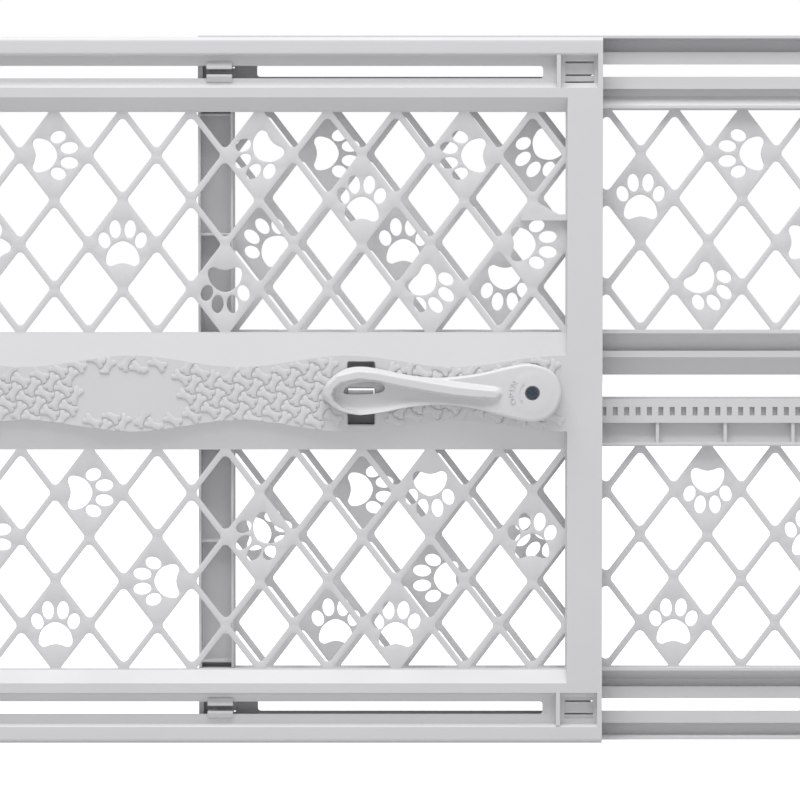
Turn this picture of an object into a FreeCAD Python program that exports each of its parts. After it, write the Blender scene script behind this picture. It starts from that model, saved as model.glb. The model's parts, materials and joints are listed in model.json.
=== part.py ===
"""Two-panel pressure gate for pets: two ribbed plastic panels that slide past each other and a lever lock.

X runs along the gate, Y from the side with the lever to the back, Z up.
The origin is at the middle of the whole gate's base, with the gate closed to an ordinary doorway.
"""

import FreeCAD, Part
import math
import os
import re

import Sketcher

V = FreeCAD.Vector
doc = FreeCAD.newDocument("pet_gate")

# ---------------------------------------------------------------- driving sizes, in millimetres

SIZES = {
    # the whole gate
    "panel_tall": 584.0,
    "panel_deep": 20.0,
    "panel_gap": 0.6,  # running gap between the two panels
    "mesh_lap": 276.8,  # how far the two lattices overlap at rest
    "rear_rise": 2.9,  # the rear panel is this much taller
    "rear_middle_rise": 2.0,  # its beam sits this much higher
    "wall": 2.2,
    "end_wall": 4.0,
    "edge_round": 4.0,
    # what a panel is divided into
    "rail_tall": 60.2,
    "beam_tall": 95.5,
    "inner_post": 29.2,
    "outer_post": 32.0,
    "cell_wide": 56.6,
    "cells_across": 9.0,
    "half_rows": 5.0,  # half diamonds in the height of one lattice
    # rail section, from its outer edge inwards
    "face_tall": 14.65,
    "trough_tall": 27.3,
    "trough_deep": 9.0,
    "trough_edge": 2.0,  # radius where the face turns into the trough
    "cove_tall": 5.6,  # the trough's floor curves up to the inner face over this height
    "trough_draft": 0.6,  # lean of the trough's walls on the ribbed side
    "slope_tall": 10.4,
    "slope_deep": 8.5,  # depth at which a sloping face meets the lattice
    "slot_tall": 10.4,
    "slot_round": 2.5,
    "slot_from_edge": 48.8,  # from a panel's inner edge to its slot
    "rib_from_edge": 34.7,
    "rib_thick": 3.3,
    # snap hooks
    "hook_from_edge": 18.6,
    "hook_wide": 21.0,
    "hook_plate": 2.0,
    "hook_plate_margin": 3.0,
    "hook_plate_tall": 21.2,
    "hook_window_tall": 18.0,
    "relief_tall": 1.2,  # slots in the plate that let the fingers flex
    "finger_thick": 2.4,
    "finger_gap": 0.5,  # each side, between a finger and the slot
    "barb_out": 3.5,
    "barb_long": 3.7,
    "barb_gap": 0.4,
    "barb_land": 1.0,
    "hook_stop_gap": 6.0,
    # cross ribs inside the posts, and the stub beside the front lattice
    "rib_near_rail": 5.0,
    "rib_from_middle": 128.0,
    "rib_set_back": 5.5,
    "stub_long": 38.0,
    "stub_tall": 5.0,
    "stub_drop": 88.3,  # from the lattice's top
    "stub_deep": 5.5,
    # lattice
    "mesh_thick": 3.0,
    "strand_wide": 5.0,
    "diamond_round": 4.0,
    "hairline": 0.6,  # plate left between a cut diamond and the border
    "hairline_round": 1.2,
    # centre beam of the front panel
    "beam_slope": 28.0,
    "beam_face": 1.5,  # how far the beam's flat sits behind the band
    "band_back": 5.2,
    "band_drop": 2.0,
    "band_half": 26.7,  # half the band's middle height
    "band_wave": 4.75,
    "band_period": 178.0,
    "band_crest": -43.4,  # x of a widest place
    "grip_slot_wide": 23.6,
    "grip_slot_top": 26.4,  # above the pivot
    "grip_upper_tall": 10.3,
    "grip_bar_tall": 11.6,
    "grip_lower_tall": 31.4,
    "grip_slot_shift": 11.6,  # from the band's crest
    "grip_slot_round": 2.6,
    # centre beam of the rear panel
    "centre_slot_tall": 18.4,
    "centre_slot_up": 1.7,  # the slot's middle, above the rear beam's
    "centre_slot_margin": 7.0,
    "ridge_from_top": 16.7,
    "ridge_thick": 5.4,
    "ridge_deep": 5.0,
    "rack_tall": 19.4,
    "rack_front": 4.0,
    "rack_wall": 3.0,
    "rack_pitch": 9.525,
    "rack_margin": 4.0,  # least strip beyond the first and last window
    "rack_first": 33.2,  # from the rear panel's inner edge
    "window_wide": 4.1,
    "window_tall": 7.0,
    "window_drop": 19.4,  # below the rear beam's middle
    "web_thick": 2.7,
    # lever and lock
    "pivot_from_mesh": 29.3,
    "pivot_drop": 1.5,
    "lever_proud": 17.0,
    "lever_gap": 1.5,
    "lever_round": 4.5,
    "bowl_long": 80.0,
    "bowl_tall": 27.0,
    "bowl_deep": 11.0,
    "bowl_from_pivot": 132.0,
    "bowl_drop": 0.5,
    "lever_window_long": 33.0,
    "lever_window_tall": 8.5,
    "lever_window_from_pivot": 152.0,
    "lever_window_up": 0.5,
    "lever_window_round": 3.5,
    "lug_wide": 17.4,
    "lug_tall": 14.8,
    "lug_from_pivot": 151.0,
    "lug_drop": 13.0,
    "lug_gap": 0.4,
    "hub_radius": 6.0,
    "hub_play": 0.25,
    "cam_radius": 12.0,
    "cam_hollow": 8.0,
    "cam_base": 1.0,
    "cam_play": 0.2,
    "dog_travel": 5.0,
    "dog_play": 0.8,
    "dog_thick": 2.5,
    "dog_half_wide": 13.0,
    "dog_teeth": 2.0,
    "tooth_side_play": 0.35,
    "tooth_bite": 2.2,
    "guide_play": 0.3,
    "guide_wall": 2.0,
    "nub_radius": 1.5,
    "nub_inset": 0.5,  # from the cam's edge and from its hollow
    "dog_skirt": 1.2,  # plate below the rack's windows
    "dog_back_gap": 0.5,
    "guide_head": 6.0,
    "sleeve_radius": 3.5,
    "screw_radius": 2.0,
    "screw_head": 5.0,
    "screw_head_thick": 1.9,
    "screw_sunk": 2.6,
    "screw_head_play": 0.3,
    "screw_fit": 0.02,
    "cross_long": 6.0,
    "cross_wide": 1.2,
    "washer_wide": 34.0,
    "washer_thick": 2.0,
    "washer_play": 0.3,
    "nut_across": 8.0,
    "back_proud": 5.0,
    # rubber bumpers
    "bumper_thick": 13.0,
    "bumper_tall": 58.0,
    "bumper_round": 3.0,
    "bumper_inset": 0.5,
    "bumper_drop": 1.0,
    "plug_radius": 4.0,
    "plug_play": 0.1,
    # how far the panels close past the rest position, in rack teeth
    "teeth_closing": 18.0,
}

# ---------------------------------------------------------------- places worked out from the sizes

PLACES = {
    "mesh_wide": "cells_across * cell_wide",
    "panel_wide": "mesh_wide + inner_post + outer_post",
    "panel_lap": "mesh_lap + 2 * inner_post",
    "gate_deep": "lever_proud + 2 * panel_deep + panel_gap + back_proud",
    "front_face": "lever_proud - gate_deep / 2",
    "front_back": "front_face + panel_deep",
    "rear_front": "front_back + panel_gap",
    "rear_face": "rear_front + panel_deep",
    "front_right": "panel_lap / 2",
    "front_left": "front_right - panel_wide",
    "rear_left": "-panel_lap / 2",
    "rear_right": "rear_left + panel_wide",
    "slot_middle": "face_tall + trough_tall / 2",
    "front_mesh_left": "front_left + outer_post",
    "front_mesh_right": "front_right - inner_post",
    "rear_mesh_left": "rear_left + inner_post",
    "rear_mesh_right": "rear_right - outer_post",
    "beam_middle": "panel_tall / 2",
    "rear_middle": "panel_tall / 2 + rear_middle_rise",
    "rear_top": "panel_tall + rear_rise",
    "slot_length": "panel_lap - hook_from_edge + teeth_closing * rack_pitch + hook_wide / 2"
    " + hook_stop_gap - slot_from_edge",
    "pivot_x": "front_mesh_right - pivot_from_mesh",
    "pivot_z": "beam_middle - pivot_drop",
    "window_z": "rear_middle - window_drop",
    "rack_windows": "floor((mesh_wide - 2 * rack_margin - window_wide) / rack_pitch) + 1",
    "tooth_half": "(window_wide - 2 * tooth_side_play) / 2",
    "cam_front": "front_face + band_back + cam_play",
    "ramp_high": "cam_front + cam_base + dog_travel",
    "nub_tip": "ramp_high + dog_play",
    "dog_back": "front_back - dog_back_gap",
    "dog_front": "dog_back - dog_thick",
    "tooth_tip": "rear_front + rack_front + tooth_bite",
    "washer_y": "rear_face + washer_play",
    "rear_flat_inside": "rear_face - beam_face - wall",
    "lever_back": "front_face - lever_gap",
    "lever_top": "front_face - lever_proud",
}


def write_sheet(name, cells, prefix=""):
    """A spreadsheet with one alias a row; a cell is a plain number, or a formula of other aliases."""
    made = doc.addObject("Spreadsheet::Sheet", name)
    for row, (alias, value) in enumerate(cells.items(), start=1):
        made.set(f"A{row}", alias)
        made.setAlias(f"B{row}", alias)
    for row, value in enumerate(cells.values(), start=1):
        made.set(f"B{row}", prefix + (sized(value) if prefix else str(value)))
    return made


def sized(text):
    """An expression in plain aliases, with each alias led to its own sheet."""

    def owner(match):
        word = match.group(0)
        if word in SIZES:
            return "sizes." + word
        return "places." + word if word in PLACES else word

    return re.sub(r"[a-z_]+", owner, str(text))


sizes = write_sheet("sizes", SIZES)
places = write_sheet("places", PLACES, "=")
doc.recompute()


def read(alias):
    """The value of one alias, from the sheet that holds it."""
    return float((sizes if alias in SIZES else places).get(alias))


def worked(text):
    """An expression's value now, for the first drawing of a sketch that the expression then drives."""
    found = sizes.evalExpression(sized(text))
    return float(getattr(found, "Value", found))


# ---------------------------------------------------------------- drawing helpers

nodes = []


def body(name):
    """A PartDesign body whose Label is its node's name."""
    made = doc.addObject("PartDesign::Body", name)
    made.Label = name
    nodes.append(made)
    return made


def sketch(owner, name, plane, points, offset):
    """A closed outline on one of the body's own planes, every corner driven by two expressions."""
    made = owner.newObject("Sketcher::SketchObject", name)
    base = [p for p in owner.Origin.OriginFeatures if p.Role == plane + "_Plane"][0]
    made.AttachmentSupport = (base, [""])
    made.MapMode = "FlatFace"
    sign = "-1" if plane == "XZ" else "1"
    made.setExpression(".AttachmentOffset.Base.z", sized(f"{sign} * ({offset})"))
    corners = [V(worked(a), worked(b), 0) for a, b in points]
    for here, after in zip(corners, corners[1:] + corners[:1]):
        made.addGeometry(Part.LineSegment(here, after), False)
    for n, (across, along) in enumerate(points):
        made.addConstraint(Sketcher.Constraint("Coincident", n, 2, (n + 1) % len(points), 1))
        for kind, value, text in (("DistanceX", corners[n].x, across), ("DistanceY", corners[n].y, along)):
            row = made.addConstraint(Sketcher.Constraint(kind, -1, 1, n, 1, value))
            made.setExpression(f"Constraints[{row}]", sized(text))
    return made


def rect(a_low, a_high, b_low, b_high):
    """The four corners of an upright rectangle."""
    return [(a_low, b_low), (a_high, b_low), (a_high, b_high), (a_low, b_high)]


def feature(owner, kind, name, plane, points, low, high):
    """A pad or a pocket of an outline between two places along the plane's normal."""
    start = high if plane == "XZ" else low
    made = owner.newObject("PartDesign::" + kind, name)
    made.Profile = sketch(owner, name + "_sketch", plane, points, start)
    made.setExpression("Length", sized(f"({high}) - ({low})"))
    made.Reversed = kind == "Pocket"
    owner.Tip = made
    return made


def pad(owner, name, plane, points, low, high):
    return feature(owner, "Pad", name, plane, points, low, high)


def pocket(owner, name, plane, points, low, high):
    """A pocket that has to take something away."""
    doc.recompute()
    before = owner.Shape.Volume
    made = feature(owner, "Pocket", name, plane, points, low, high)
    doc.recompute()
    if owner.Shape.Volume > before - 0.01:
        raise RuntimeError(f"{owner.Label}: {name} cuts nothing")
    return made


def fillet(owner, name, alias, wanted):
    """Rounds the edges of the body for which wanted(edge) is true."""
    doc.recompute()
    base = owner.Tip
    picked = [f"Edge{n}" for n, edge in enumerate(base.Shape.Edges, start=1) if wanted(edge)]
    if not picked:
        raise RuntimeError(f"{owner.Label}: {name} finds no edge")
    made = owner.newObject("PartDesign::Fillet", name)
    made.Base = (base, picked)
    made.setExpression("Radius", sized(alias))
    owner.Tip = made
    return made


def along(edge, axis):
    """Whether an edge is straight and runs along one axis, given as a letter."""
    if len(edge.Vertexes) != 2 or edge.Curve.TypeId != "Part::GeomLine":
        return False
    step = edge.Vertexes[1].Point - edge.Vertexes[0].Point
    return abs(getattr(step, axis)) > 0.999 * step.Length


def block(name, x0, x1, y0, y1, z0, z1):
    """A Part box between six places."""
    made = doc.addObject("Part::Box", name)
    for prop, low, high in (("Length", x0, x1), ("Width", y0, y1), ("Height", z0, z1)):
        made.setExpression(prop, sized(f"({high}) - ({low})"))
    for letter, low in zip("xyz", (x0, y0, z0)):
        made.setExpression(f".Placement.Base.{letter}", sized(low))
    return made


TURNS = {
    "x": FreeCAD.Rotation(V(0, 1, 0), 90),
    "y": FreeCAD.Rotation(V(1, 0, 0), -90),
    "z": FreeCAD.Rotation(),
}


def rod(name, axis, radius, start, length, x, y, z):
    """A Part cylinder along an axis; start replaces the coordinate on that axis."""
    made = doc.addObject("Part::Cylinder", name)
    made.setExpression("Radius", sized(radius))
    made.setExpression("Height", sized(length))
    made.Placement = FreeCAD.Placement(V(), TURNS[axis])
    for letter, text in zip("xyz", (x, y, z)):
        made.setExpression(f".Placement.Base.{letter}", sized(start if letter == axis else text))
    return made


def joined(name, pieces, keep=True):
    """A Part union; keep says that it is a node of its own."""
    made = doc.addObject("Part::MultiFuse", name)
    made.Shapes = pieces
    made.Refine = True
    made.Label = name
    if keep:
        nodes.append(made)
    return made


def minus(name, base, tool, keep=True):
    """One Part solid less another."""
    made = doc.addObject("Part::Cut", name)
    made.Base = base
    made.Tool = tool
    made.Refine = True
    made.Label = name
    if keep:
        nodes.append(made)
    return made


def shaped(name, shape, keep=True):
    """A shape that neither sketches nor primitives can give, made by Part's own functions."""
    made = doc.addObject("Part::Feature", name)
    made.Shape = shape
    made.Label = name
    if keep:
        nodes.append(made)
    return made


# ---------------------------------------------------------------- the two panels' common pieces


class Side:
    """Where one panel lies: its show face, the way its depth runs, and its left and right edges."""

    def __init__(self, name, face, deeper, left, right, inner, toward, base, top, middle):
        self.name = name
        self.face = face  # y of the smooth show face
        self.deeper = deeper  # +1 or -1: the way from the show face into the panel
        self.left = left
        self.right = right
        self.inner = inner  # x of the edge that lies behind or before the other panel
        self.toward = toward  # +1 or -1: the way from that edge along the panel
        self.base = base
        self.top = top
        self.middle = middle

    def deep(self, text):
        """The y of a depth counted from the show face."""
        return f"{self.face} + {self.deeper} * ({text})"

    def span(self, low, high):
        """Two depths as a low and a high y."""
        ends = self.deep(low), self.deep(high)
        return ends if self.deeper > 0 else ends[::-1]

    def from_inner(self, low, high):
        """Two distances from the inner edge as a low and a high x."""
        ends = [f"{self.inner} + {self.toward} * ({text})" for text in (low, high)]
        return ends if self.toward > 0 else ends[::-1]


FRONT = Side("front", "front_face", 1, "front_left", "front_right", "front_right", -1,
             "0", "panel_tall", "beam_middle")
REAR = Side("rear", "rear_face", -1, "rear_left", "rear_right", "rear_left", 1,
            "0", "rear_top", "rear_middle")


def rail(side, place):
    """A top or bottom rail: a corrugated section with a slot for the other panel's hooks."""
    name = f"{side.name}_{place}_rail"
    edge, inward = (side.top, -1) if place == "top" else (side.base, 1)

    def height(text):
        return f"{edge} + {inward} * ({text})"

    def point(depth, drop):
        return side.deep(depth), height(drop)

    low_wall = "face_tall + trough_tall"
    slope_top = "rail_tall - slope_tall"
    turns = 0, 30, 60, 90
    edge_round = [(f"trough_edge * (1 - cos({turn}))", f"trough_edge * (1 - sin({turn}))") for turn in turns]
    cove = [(f"trough_deep * sin({turn})", f"cove_tall * (1 - cos({turn}))") for turn in turns]
    section = [point("panel_deep", "0"), point("0", "0")]
    section += [point(depth, f"face_tall - {drop}") for depth, drop in edge_round]
    section += [point("trough_deep", "face_tall + trough_draft")]
    section += [point(depth, f"{low_wall} - {drop}") for depth, drop in reversed(cove)]
    section += [
        point("0", slope_top),
        point("slope_deep", "rail_tall"),
        point("panel_deep", "rail_tall"),
        point("panel_deep", "rail_tall - wall"),
        point("slope_deep + 0.4 * wall", "rail_tall - wall"),
        point("wall", f"{slope_top} - 0.4 * wall"),
        point("wall", f"{low_wall} + 0.8 * wall"),
        point("trough_deep + wall", f"{low_wall} - trough_draft + wall"),
        point("trough_deep + wall", "face_tall + trough_draft - wall"),
        point("wall", "face_tall - 0.8 * wall"),
        point("wall", "wall"),
        point("panel_deep", "wall"),
    ]
    made = body(name)
    pad(made, name + "_section", "YZ", section, side.left, side.right)

    def heights(low, high):
        ends = height(low), height(high)
        return ends if inward > 0 else ends[::-1]

    ends = rect(*side.span("0", "panel_deep"), *heights("0", "rail_tall"))
    pad(made, name + "_left_end", "YZ", ends, side.left, f"{side.left} + end_wall")
    pad(made, name + "_right_end", "YZ", ends, f"{side.right} - end_wall", side.right)
    corner = rect(*side.span("0", "slope_deep"), *heights(slope_top, "rail_tall"))
    pad(made, name + "_inner_corner", "YZ", corner, *side.from_inner("0", "inner_post"))
    pad(made, name + "_outer_corner", "YZ", corner, *side.from_inner("panel_wide - outer_post", "panel_wide"))
    rib = rect(*side.span("0", "trough_deep + wall"), *heights("face_tall - 0.1", f"{low_wall} + 0.1"))
    pad(made, name + "_rib", "YZ", rib, *side.from_inner("rib_from_edge", "rib_from_edge + rib_thick"))
    slot = rect(*side.from_inner("slot_from_edge", "slot_from_edge + slot_length"),
                *heights("slot_middle - slot_tall / 2", "slot_middle + slot_tall / 2"))
    pocket(made, name + "_slot", "XZ", slot, *side.span("0", "panel_deep"))
    reach = "(hook_wide / 2 + hook_plate_margin / 2)"
    window = rect(*side.from_inner(f"hook_from_edge - {reach}", f"hook_from_edge + {reach}"),
                  *heights("slot_middle - hook_window_tall / 2", "slot_middle + hook_window_tall / 2"))
    pocket(made, name + "_hook_window", "XZ", window, *side.span("0", "panel_deep"))
    face_y, edge_z = read(side.face), worked(height("0"))
    fillet(made, name + "_edge_round", "edge_round",
           lambda e: along(e, "x") and e.Length > 100
           and abs(e.Vertexes[0].Y - face_y) < 0.01 and abs(e.Vertexes[0].Z - edge_z) < 0.01)
    slot_x = [worked(text) for text in side.from_inner("slot_from_edge", "slot_from_edge + slot_length")]
    fillet(made, name + "_slot_round", "slot_round",
           lambda e: along(e, "y") and min(abs(e.Vertexes[0].X - x) for x in slot_x) < 0.01)
    outer = side.right if side.toward > 0 else side.left
    bore = rod(name + "_plug_bore", "x", "plug_radius + plug_play", f"{outer} - 2 * end_wall",
               "4 * end_wall", "0", side.deep("panel_deep / 2"), height("slot_middle"))
    nodes.remove(made)
    made.Label = name + "_moulding"
    minus(name, made, bore)


def post(side, which, low, high):
    """An upright channel between the rails, open away from the show face, with cross ribs inside."""
    name = f"{side.name}_{which}_post"
    made = body(name)
    channel = [
        (low, side.deep("0")),
        (high, side.deep("0")),
        (high, side.deep("panel_deep")),
        (f"{high} - wall", side.deep("panel_deep")),
        (f"{high} - wall", side.deep("wall")),
        (f"{low} + wall", side.deep("wall")),
        (f"{low} + wall", side.deep("panel_deep")),
        (low, side.deep("panel_deep")),
    ]
    bottom, top = f"{side.base} + rail_tall", f"{side.top} - rail_tall"
    pad(made, name + "_channel", "XY", channel, bottom, top)
    inside = rect(low, high, *side.span("wall / 2", "panel_deep - rib_set_back"))
    for n, place in enumerate((f"{bottom} + rib_near_rail", f"{side.middle} - rib_from_middle",
                               f"{side.middle} + rib_from_middle", f"{top} - rib_near_rail")):
        pad(made, f"{name}_rib_{n}", "XY", inside, f"{place} - wall / 2", f"{place} + wall / 2")
    if side is FRONT and which == "inner":
        stub = rect(f"{low} - stub_long", f"{low} + wall", f"{top} - stub_drop - stub_tall / 2",
                    f"{top} - stub_drop + stub_tall / 2")
        pad(made, name + "_stub", "XZ", stub, *side.span("slope_deep - stub_deep", "slope_deep"))


def clip(side, place):
    """A snap clip: a plate behind the rail's window and two barbed fingers through the other's slot."""
    name = f"{side.name}_{place}_hook"
    other = REAR if side is FRONT else FRONT
    edge, inward = (other.top, -1) if place == "top" else (other.base, 1)
    centre = f"({edge} + {inward} * slot_middle)"  # the middle of the other panel's slot
    reach = "(hook_wide / 2 + hook_plate_margin)"
    plate_front = "trough_deep + wall"
    plate_back = plate_front + " + hook_plate"
    far_floor = "2 * panel_deep + panel_gap - trough_deep"  # the show-side face of the other trough
    made = body(name)
    plate = rect(*side.from_inner(f"hook_from_edge - {reach} + 1", f"hook_from_edge + {reach} - 1"),
                 f"{centre} - hook_plate_tall / 2", f"{centre} + hook_plate_tall / 2")
    pad(made, name + "_plate", "XZ", plate, *side.span(plate_front, plate_back))
    ends = side.from_inner("hook_from_edge - hook_wide / 2", "hook_from_edge + hook_wide / 2")
    outside = "(slot_tall / 2 - finger_gap)"
    for way, label in ((1, "upper"), (-1, "lower")):

        def point(depth, rise):
            return side.deep(depth), f"{centre} + {way} * ({rise})"

        tip = f"{far_floor} + barb_gap + barb_long"
        finger = [
            point(plate_back + " - 0.5", f"{outside} - finger_thick"),
            point(plate_back + " - 0.5", outside),
            point(f"{far_floor} + barb_gap", outside),
            point(f"{far_floor} + barb_gap", f"{outside} + barb_out"),
            point(f"{far_floor} + barb_gap + barb_land", f"{outside} + barb_out"),
            point(tip, f"{outside} - 0.6"),
            point(tip, f"{outside} - finger_thick"),
        ]
        pad(made, f"{name}_{label}_finger", "YZ", finger, *ends)
    beside = side.from_inner("hook_from_edge - hook_wide / 2 - relief_tall",
                             "hook_from_edge + hook_wide / 2 + relief_tall")
    for way, label in ((1, "upper"), (-1, "lower")):
        edges = sorted((f"{centre} + {way} * {outside}", f"{centre} + {way} * ({outside} + relief_tall)"),
                       key=worked)
        pocket(made, f"{name}_{label}_relief", "XZ", rect(*beside, *edges),
               *side.span(plate_front, plate_back))


def bumper(side, place):
    """A rubber pad on the outer end of a rail, with a plug in the end wall's bore."""
    name = f"{side.name}_{place}_bumper"
    edge, inward = (side.top, -1) if place == "top" else (side.base, 1)
    outer = side.right if side.toward > 0 else side.left
    way = side.toward
    ends = [f"{outer}", f"{outer} + {way} * bumper_thick"][::way]
    low_y, high_y = side.span("bumper_inset", "panel_deep - bumper_inset")
    lows = [f"{edge} + {inward} * bumper_drop", f"{edge} + {inward} * (bumper_drop + bumper_tall)"][::inward]
    pad_block = block(name + "_block", *ends, low_y, high_y, *lows)
    doc.recompute()
    rounded = doc.addObject("Part::Fillet", name + "_rounded")
    rounded.Base = pad_block
    far_x = worked(f"{outer} + {way} * bumper_thick")
    radius = read("bumper_round")
    rounded.Edges = [(n, radius, radius) for n, e in enumerate(pad_block.Shape.Edges, start=1)
                     if all(abs(v.X - far_x) < 0.01 for v in e.Vertexes)]
    start = f"{outer} - end_wall" if way > 0 else f"{outer} - 1"
    plug = rod(name + "_plug", "x", "plug_radius", start, "end_wall + 1", "0",
               side.deep("panel_deep / 2"), f"{edge} + {inward} * slot_middle")
    joined(name, [rounded, plug])


# ---------------------------------------------------------------- the lattices

# Filled diamonds with a paw cut out of them: (half column, half row from the top, toes' heading in degrees).
UPPER_PAWS = [(3, 1, -90), (1, 3, 45), (5, 3, 0), (8, 4, 180), (9, 1, 135),
              (12, 2, 0), (14, 4, -135), (15, 1, 90), (17, 3, -90)]
LOWER_PAWS = [(1, 2, -90), (3, 4, 0), (4, 1, -90), (6, 3, 90), (9, 2, 135),
              (13, 4, 0), (14, 1, 180), (17, 2, 0)]

# A paw with its toes up: each toe's centre, half width, half height and tilt.
TOES = [(-14.9, 3.5, 5.5, 7.0, 18), (14.9, 3.5, 5.5, 7.0, -18),
        (-6.2, 12.5, 5.4, 7.9, 5), (6.2, 12.5, 5.4, 7.9, -5)]
# The pad under the toes: half of its outline, from the top to the dip in the heel.
PAD_HALF = [(0, 2.7), (6.3, 0.6), (11.6, -4.4), (14.0, -11.4), (13.3, -16.0), (9.6, -17.9), (5.0, -16.4),
            (0, -15.5)]


def clipped(points, axis, limit, keep_low):
    """A convex polygon cut by one straight border; corners on the border are marked as cut."""
    out = []
    for here, after in zip(points, points[1:] + points[:1]):
        a, b = here[0][axis], after[0][axis]
        inside_a = a <= limit + 1e-9 if keep_low else a >= limit - 1e-9
        inside_b = b <= limit + 1e-9 if keep_low else b >= limit - 1e-9
        if inside_a:
            out.append(here)
        if inside_a != inside_b:
            share = (limit - a) / (b - a)
            cut = [here[0][k] + share * (after[0][k] - here[0][k]) for k in (0, 1)]
            out.append((tuple(cut), True))
    return out


def rounded_loop(points, y, radius, cut_radius):
    """A wire round a polygon in the plane at y, with an arc at every corner."""
    corners = [V(x, y, z) for (x, z), _ in points]
    radii = [cut_radius if cut else radius for _, cut in points]
    starts, ends, middles = [], [], []
    for n, here in enumerate(corners):
        back = (corners[n - 1] - here).normalize()
        ahead = (corners[(n + 1) % len(corners)] - here).normalize()
        half = back.getAngle(ahead) / 2
        reach = radii[n] / math.tan(half)
        bisector = (back + ahead).normalize()
        starts.append(here + back * reach)
        ends.append(here + ahead * reach)
        middles.append(here + bisector * (radii[n] / math.sin(half) - radii[n]))
    edges = []
    for n in range(len(corners)):
        edges.append(Part.Arc(starts[n], middles[n], ends[n]).toShape())
        edges.append(Part.LineSegment(ends[n], starts[(n + 1) % len(corners)]).toShape())
    return Part.Wire(edges)


def paw_loops(x, y, z, heading):
    """The five closed outlines of one paw, with its toes towards the heading, anticlockwise from up."""
    turn = math.radians(heading)

    def placed(right, up):
        return V(x + right * math.cos(turn) - up * math.sin(turn), y,
                 z + right * math.sin(turn) + up * math.cos(turn))

    loops = []
    for right, up, half_wide, half_tall, tilt in TOES:
        lean = math.radians(tilt)
        centre = placed(right, up)
        tip = placed(right - half_tall * math.sin(lean), up + half_tall * math.cos(lean))
        flank = placed(right + half_wide * math.cos(lean), up + half_wide * math.sin(lean))
        loops.append(Part.Wire(Part.Ellipse(tip, flank, centre).toShape()))
    half = PAD_HALF + [(-right, up) for right, up in PAD_HALF[-2:0:-1]]
    curve = Part.BSplineCurve()
    curve.interpolate([placed(*point) for point in half], PeriodicFlag=True)
    loops.append(Part.Wire(curve.toShape()))
    return loops


def lattice(side, which):
    """One diamond lattice: a plate with every diamond cut out, or a paw where the diamond is filled."""
    upper = which == "upper"
    left = read(f"{side.name}_mesh_left")
    right = read(f"{side.name}_mesh_right")
    top = worked(f"{side.top} - rail_tall") if upper else worked(f"{side.middle} - beam_tall / 2")
    bottom = worked(f"{side.middle} + beam_tall / 2") if upper else worked(f"{side.base} + rail_tall")
    start = worked(side.span("slope_deep", "slope_deep + mesh_thick")[0])
    half_wide, rows = read("cell_wide") / 2, int(read("half_rows"))
    half_tall = (top - bottom) / rows
    shrink = 1 - read("strand_wide") / 2 * math.hypot(half_wide, half_tall) / (half_wide * half_tall)
    paws = {(c, r): heading for c, r, heading in (UPPER_PAWS if upper else LOWER_PAWS)}
    outer = Part.makePolygon([V(left, start, bottom), V(right, start, bottom), V(right, start, top),
                              V(left, start, top), V(left, start, bottom)])
    loops = []
    for c in range(2 * int(read("cells_across")) + 1):
        for r in range(rows + 1):
            if (c + r) % 2 != (0 if upper else 1):
                continue
            x, z = left + c * half_wide, top - r * half_tall
            if (c, r) in paws:
                loops += paw_loops(x, start, z, paws[c, r])
                continue
            a, b = half_wide * shrink, half_tall * shrink
            diamond = [((x + a, z), False), ((x, z + b), False), ((x - a, z), False), ((x, z - b), False)]
            margin = read("hairline")
            for axis, limit, keep_low in ((0, left + margin, False), (0, right - margin, True),
                                          (1, bottom + margin, False), (1, top - margin, True)):
                diamond = clipped(diamond, axis, limit, keep_low)
            loops.append(rounded_loop(diamond, start, read("diamond_round"), read("hairline_round")))
    plate = Part.makeFace([outer] + loops, "Part::FaceMakerBullseye").extrude(V(0, read("mesh_thick"), 0))
    shaped(f"{side.name}_{which}_mesh", plate)


# ---------------------------------------------------------------- centre beams


def beam_section(side):
    """The section that both centre beams share: a flat with a slope above and below it."""

    def point(depth, drop):
        return side.deep(depth), f"{side.middle} + beam_tall / 2 - ({drop})"

    lower = "beam_tall - beam_slope"
    return [
        point("panel_deep", "0"),
        point("slope_deep", "0"),
        point("beam_face", "beam_slope"),
        point("beam_face", lower),
        point("slope_deep", "beam_tall"),
        point("panel_deep", "beam_tall"),
        point("panel_deep", "beam_tall - wall"),
        point("slope_deep + 0.8 * wall", "beam_tall - wall"),
        point("beam_face + wall", f"{lower} + 0.12 * wall"),
        point("beam_face + wall", "beam_slope - 0.12 * wall"),
        point("slope_deep + 0.8 * wall", "wall"),
        point("panel_deep", "wall"),
    ]


def wavy_band(side, thick):
    """The raised band along the beam: its two edges are one wave and its mirror image."""
    left, right = read(f"{side.name}_mesh_left"), read(f"{side.name}_mesh_right")
    middle = worked(f"{side.middle} - band_drop")
    face, back = sorted(worked(side.deep(text)) for text in ("0", thick))
    steps = 48

    def edge(sign):
        curve = Part.BSplineCurve()
        points = []
        for n in range(steps + 1):
            x = left + (right - left) * n / steps
            wave = math.cos(2 * math.pi * (x - read("band_crest")) / read("band_period"))
            points.append(V(x, face, middle + sign * (read("band_half") + read("band_wave") * wave)))
        curve.interpolate(points)
        return curve.toShape(), points[0], points[-1]

    upper, top_left, top_right = edge(1)
    lower, low_left, low_right = edge(-1)
    loop = Part.Wire([upper, Part.LineSegment(top_right, low_right).toShape(), lower,
                      Part.LineSegment(low_left, top_left).toShape()])
    return Part.Face(loop).extrude(V(0, back - face, 0))


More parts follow.
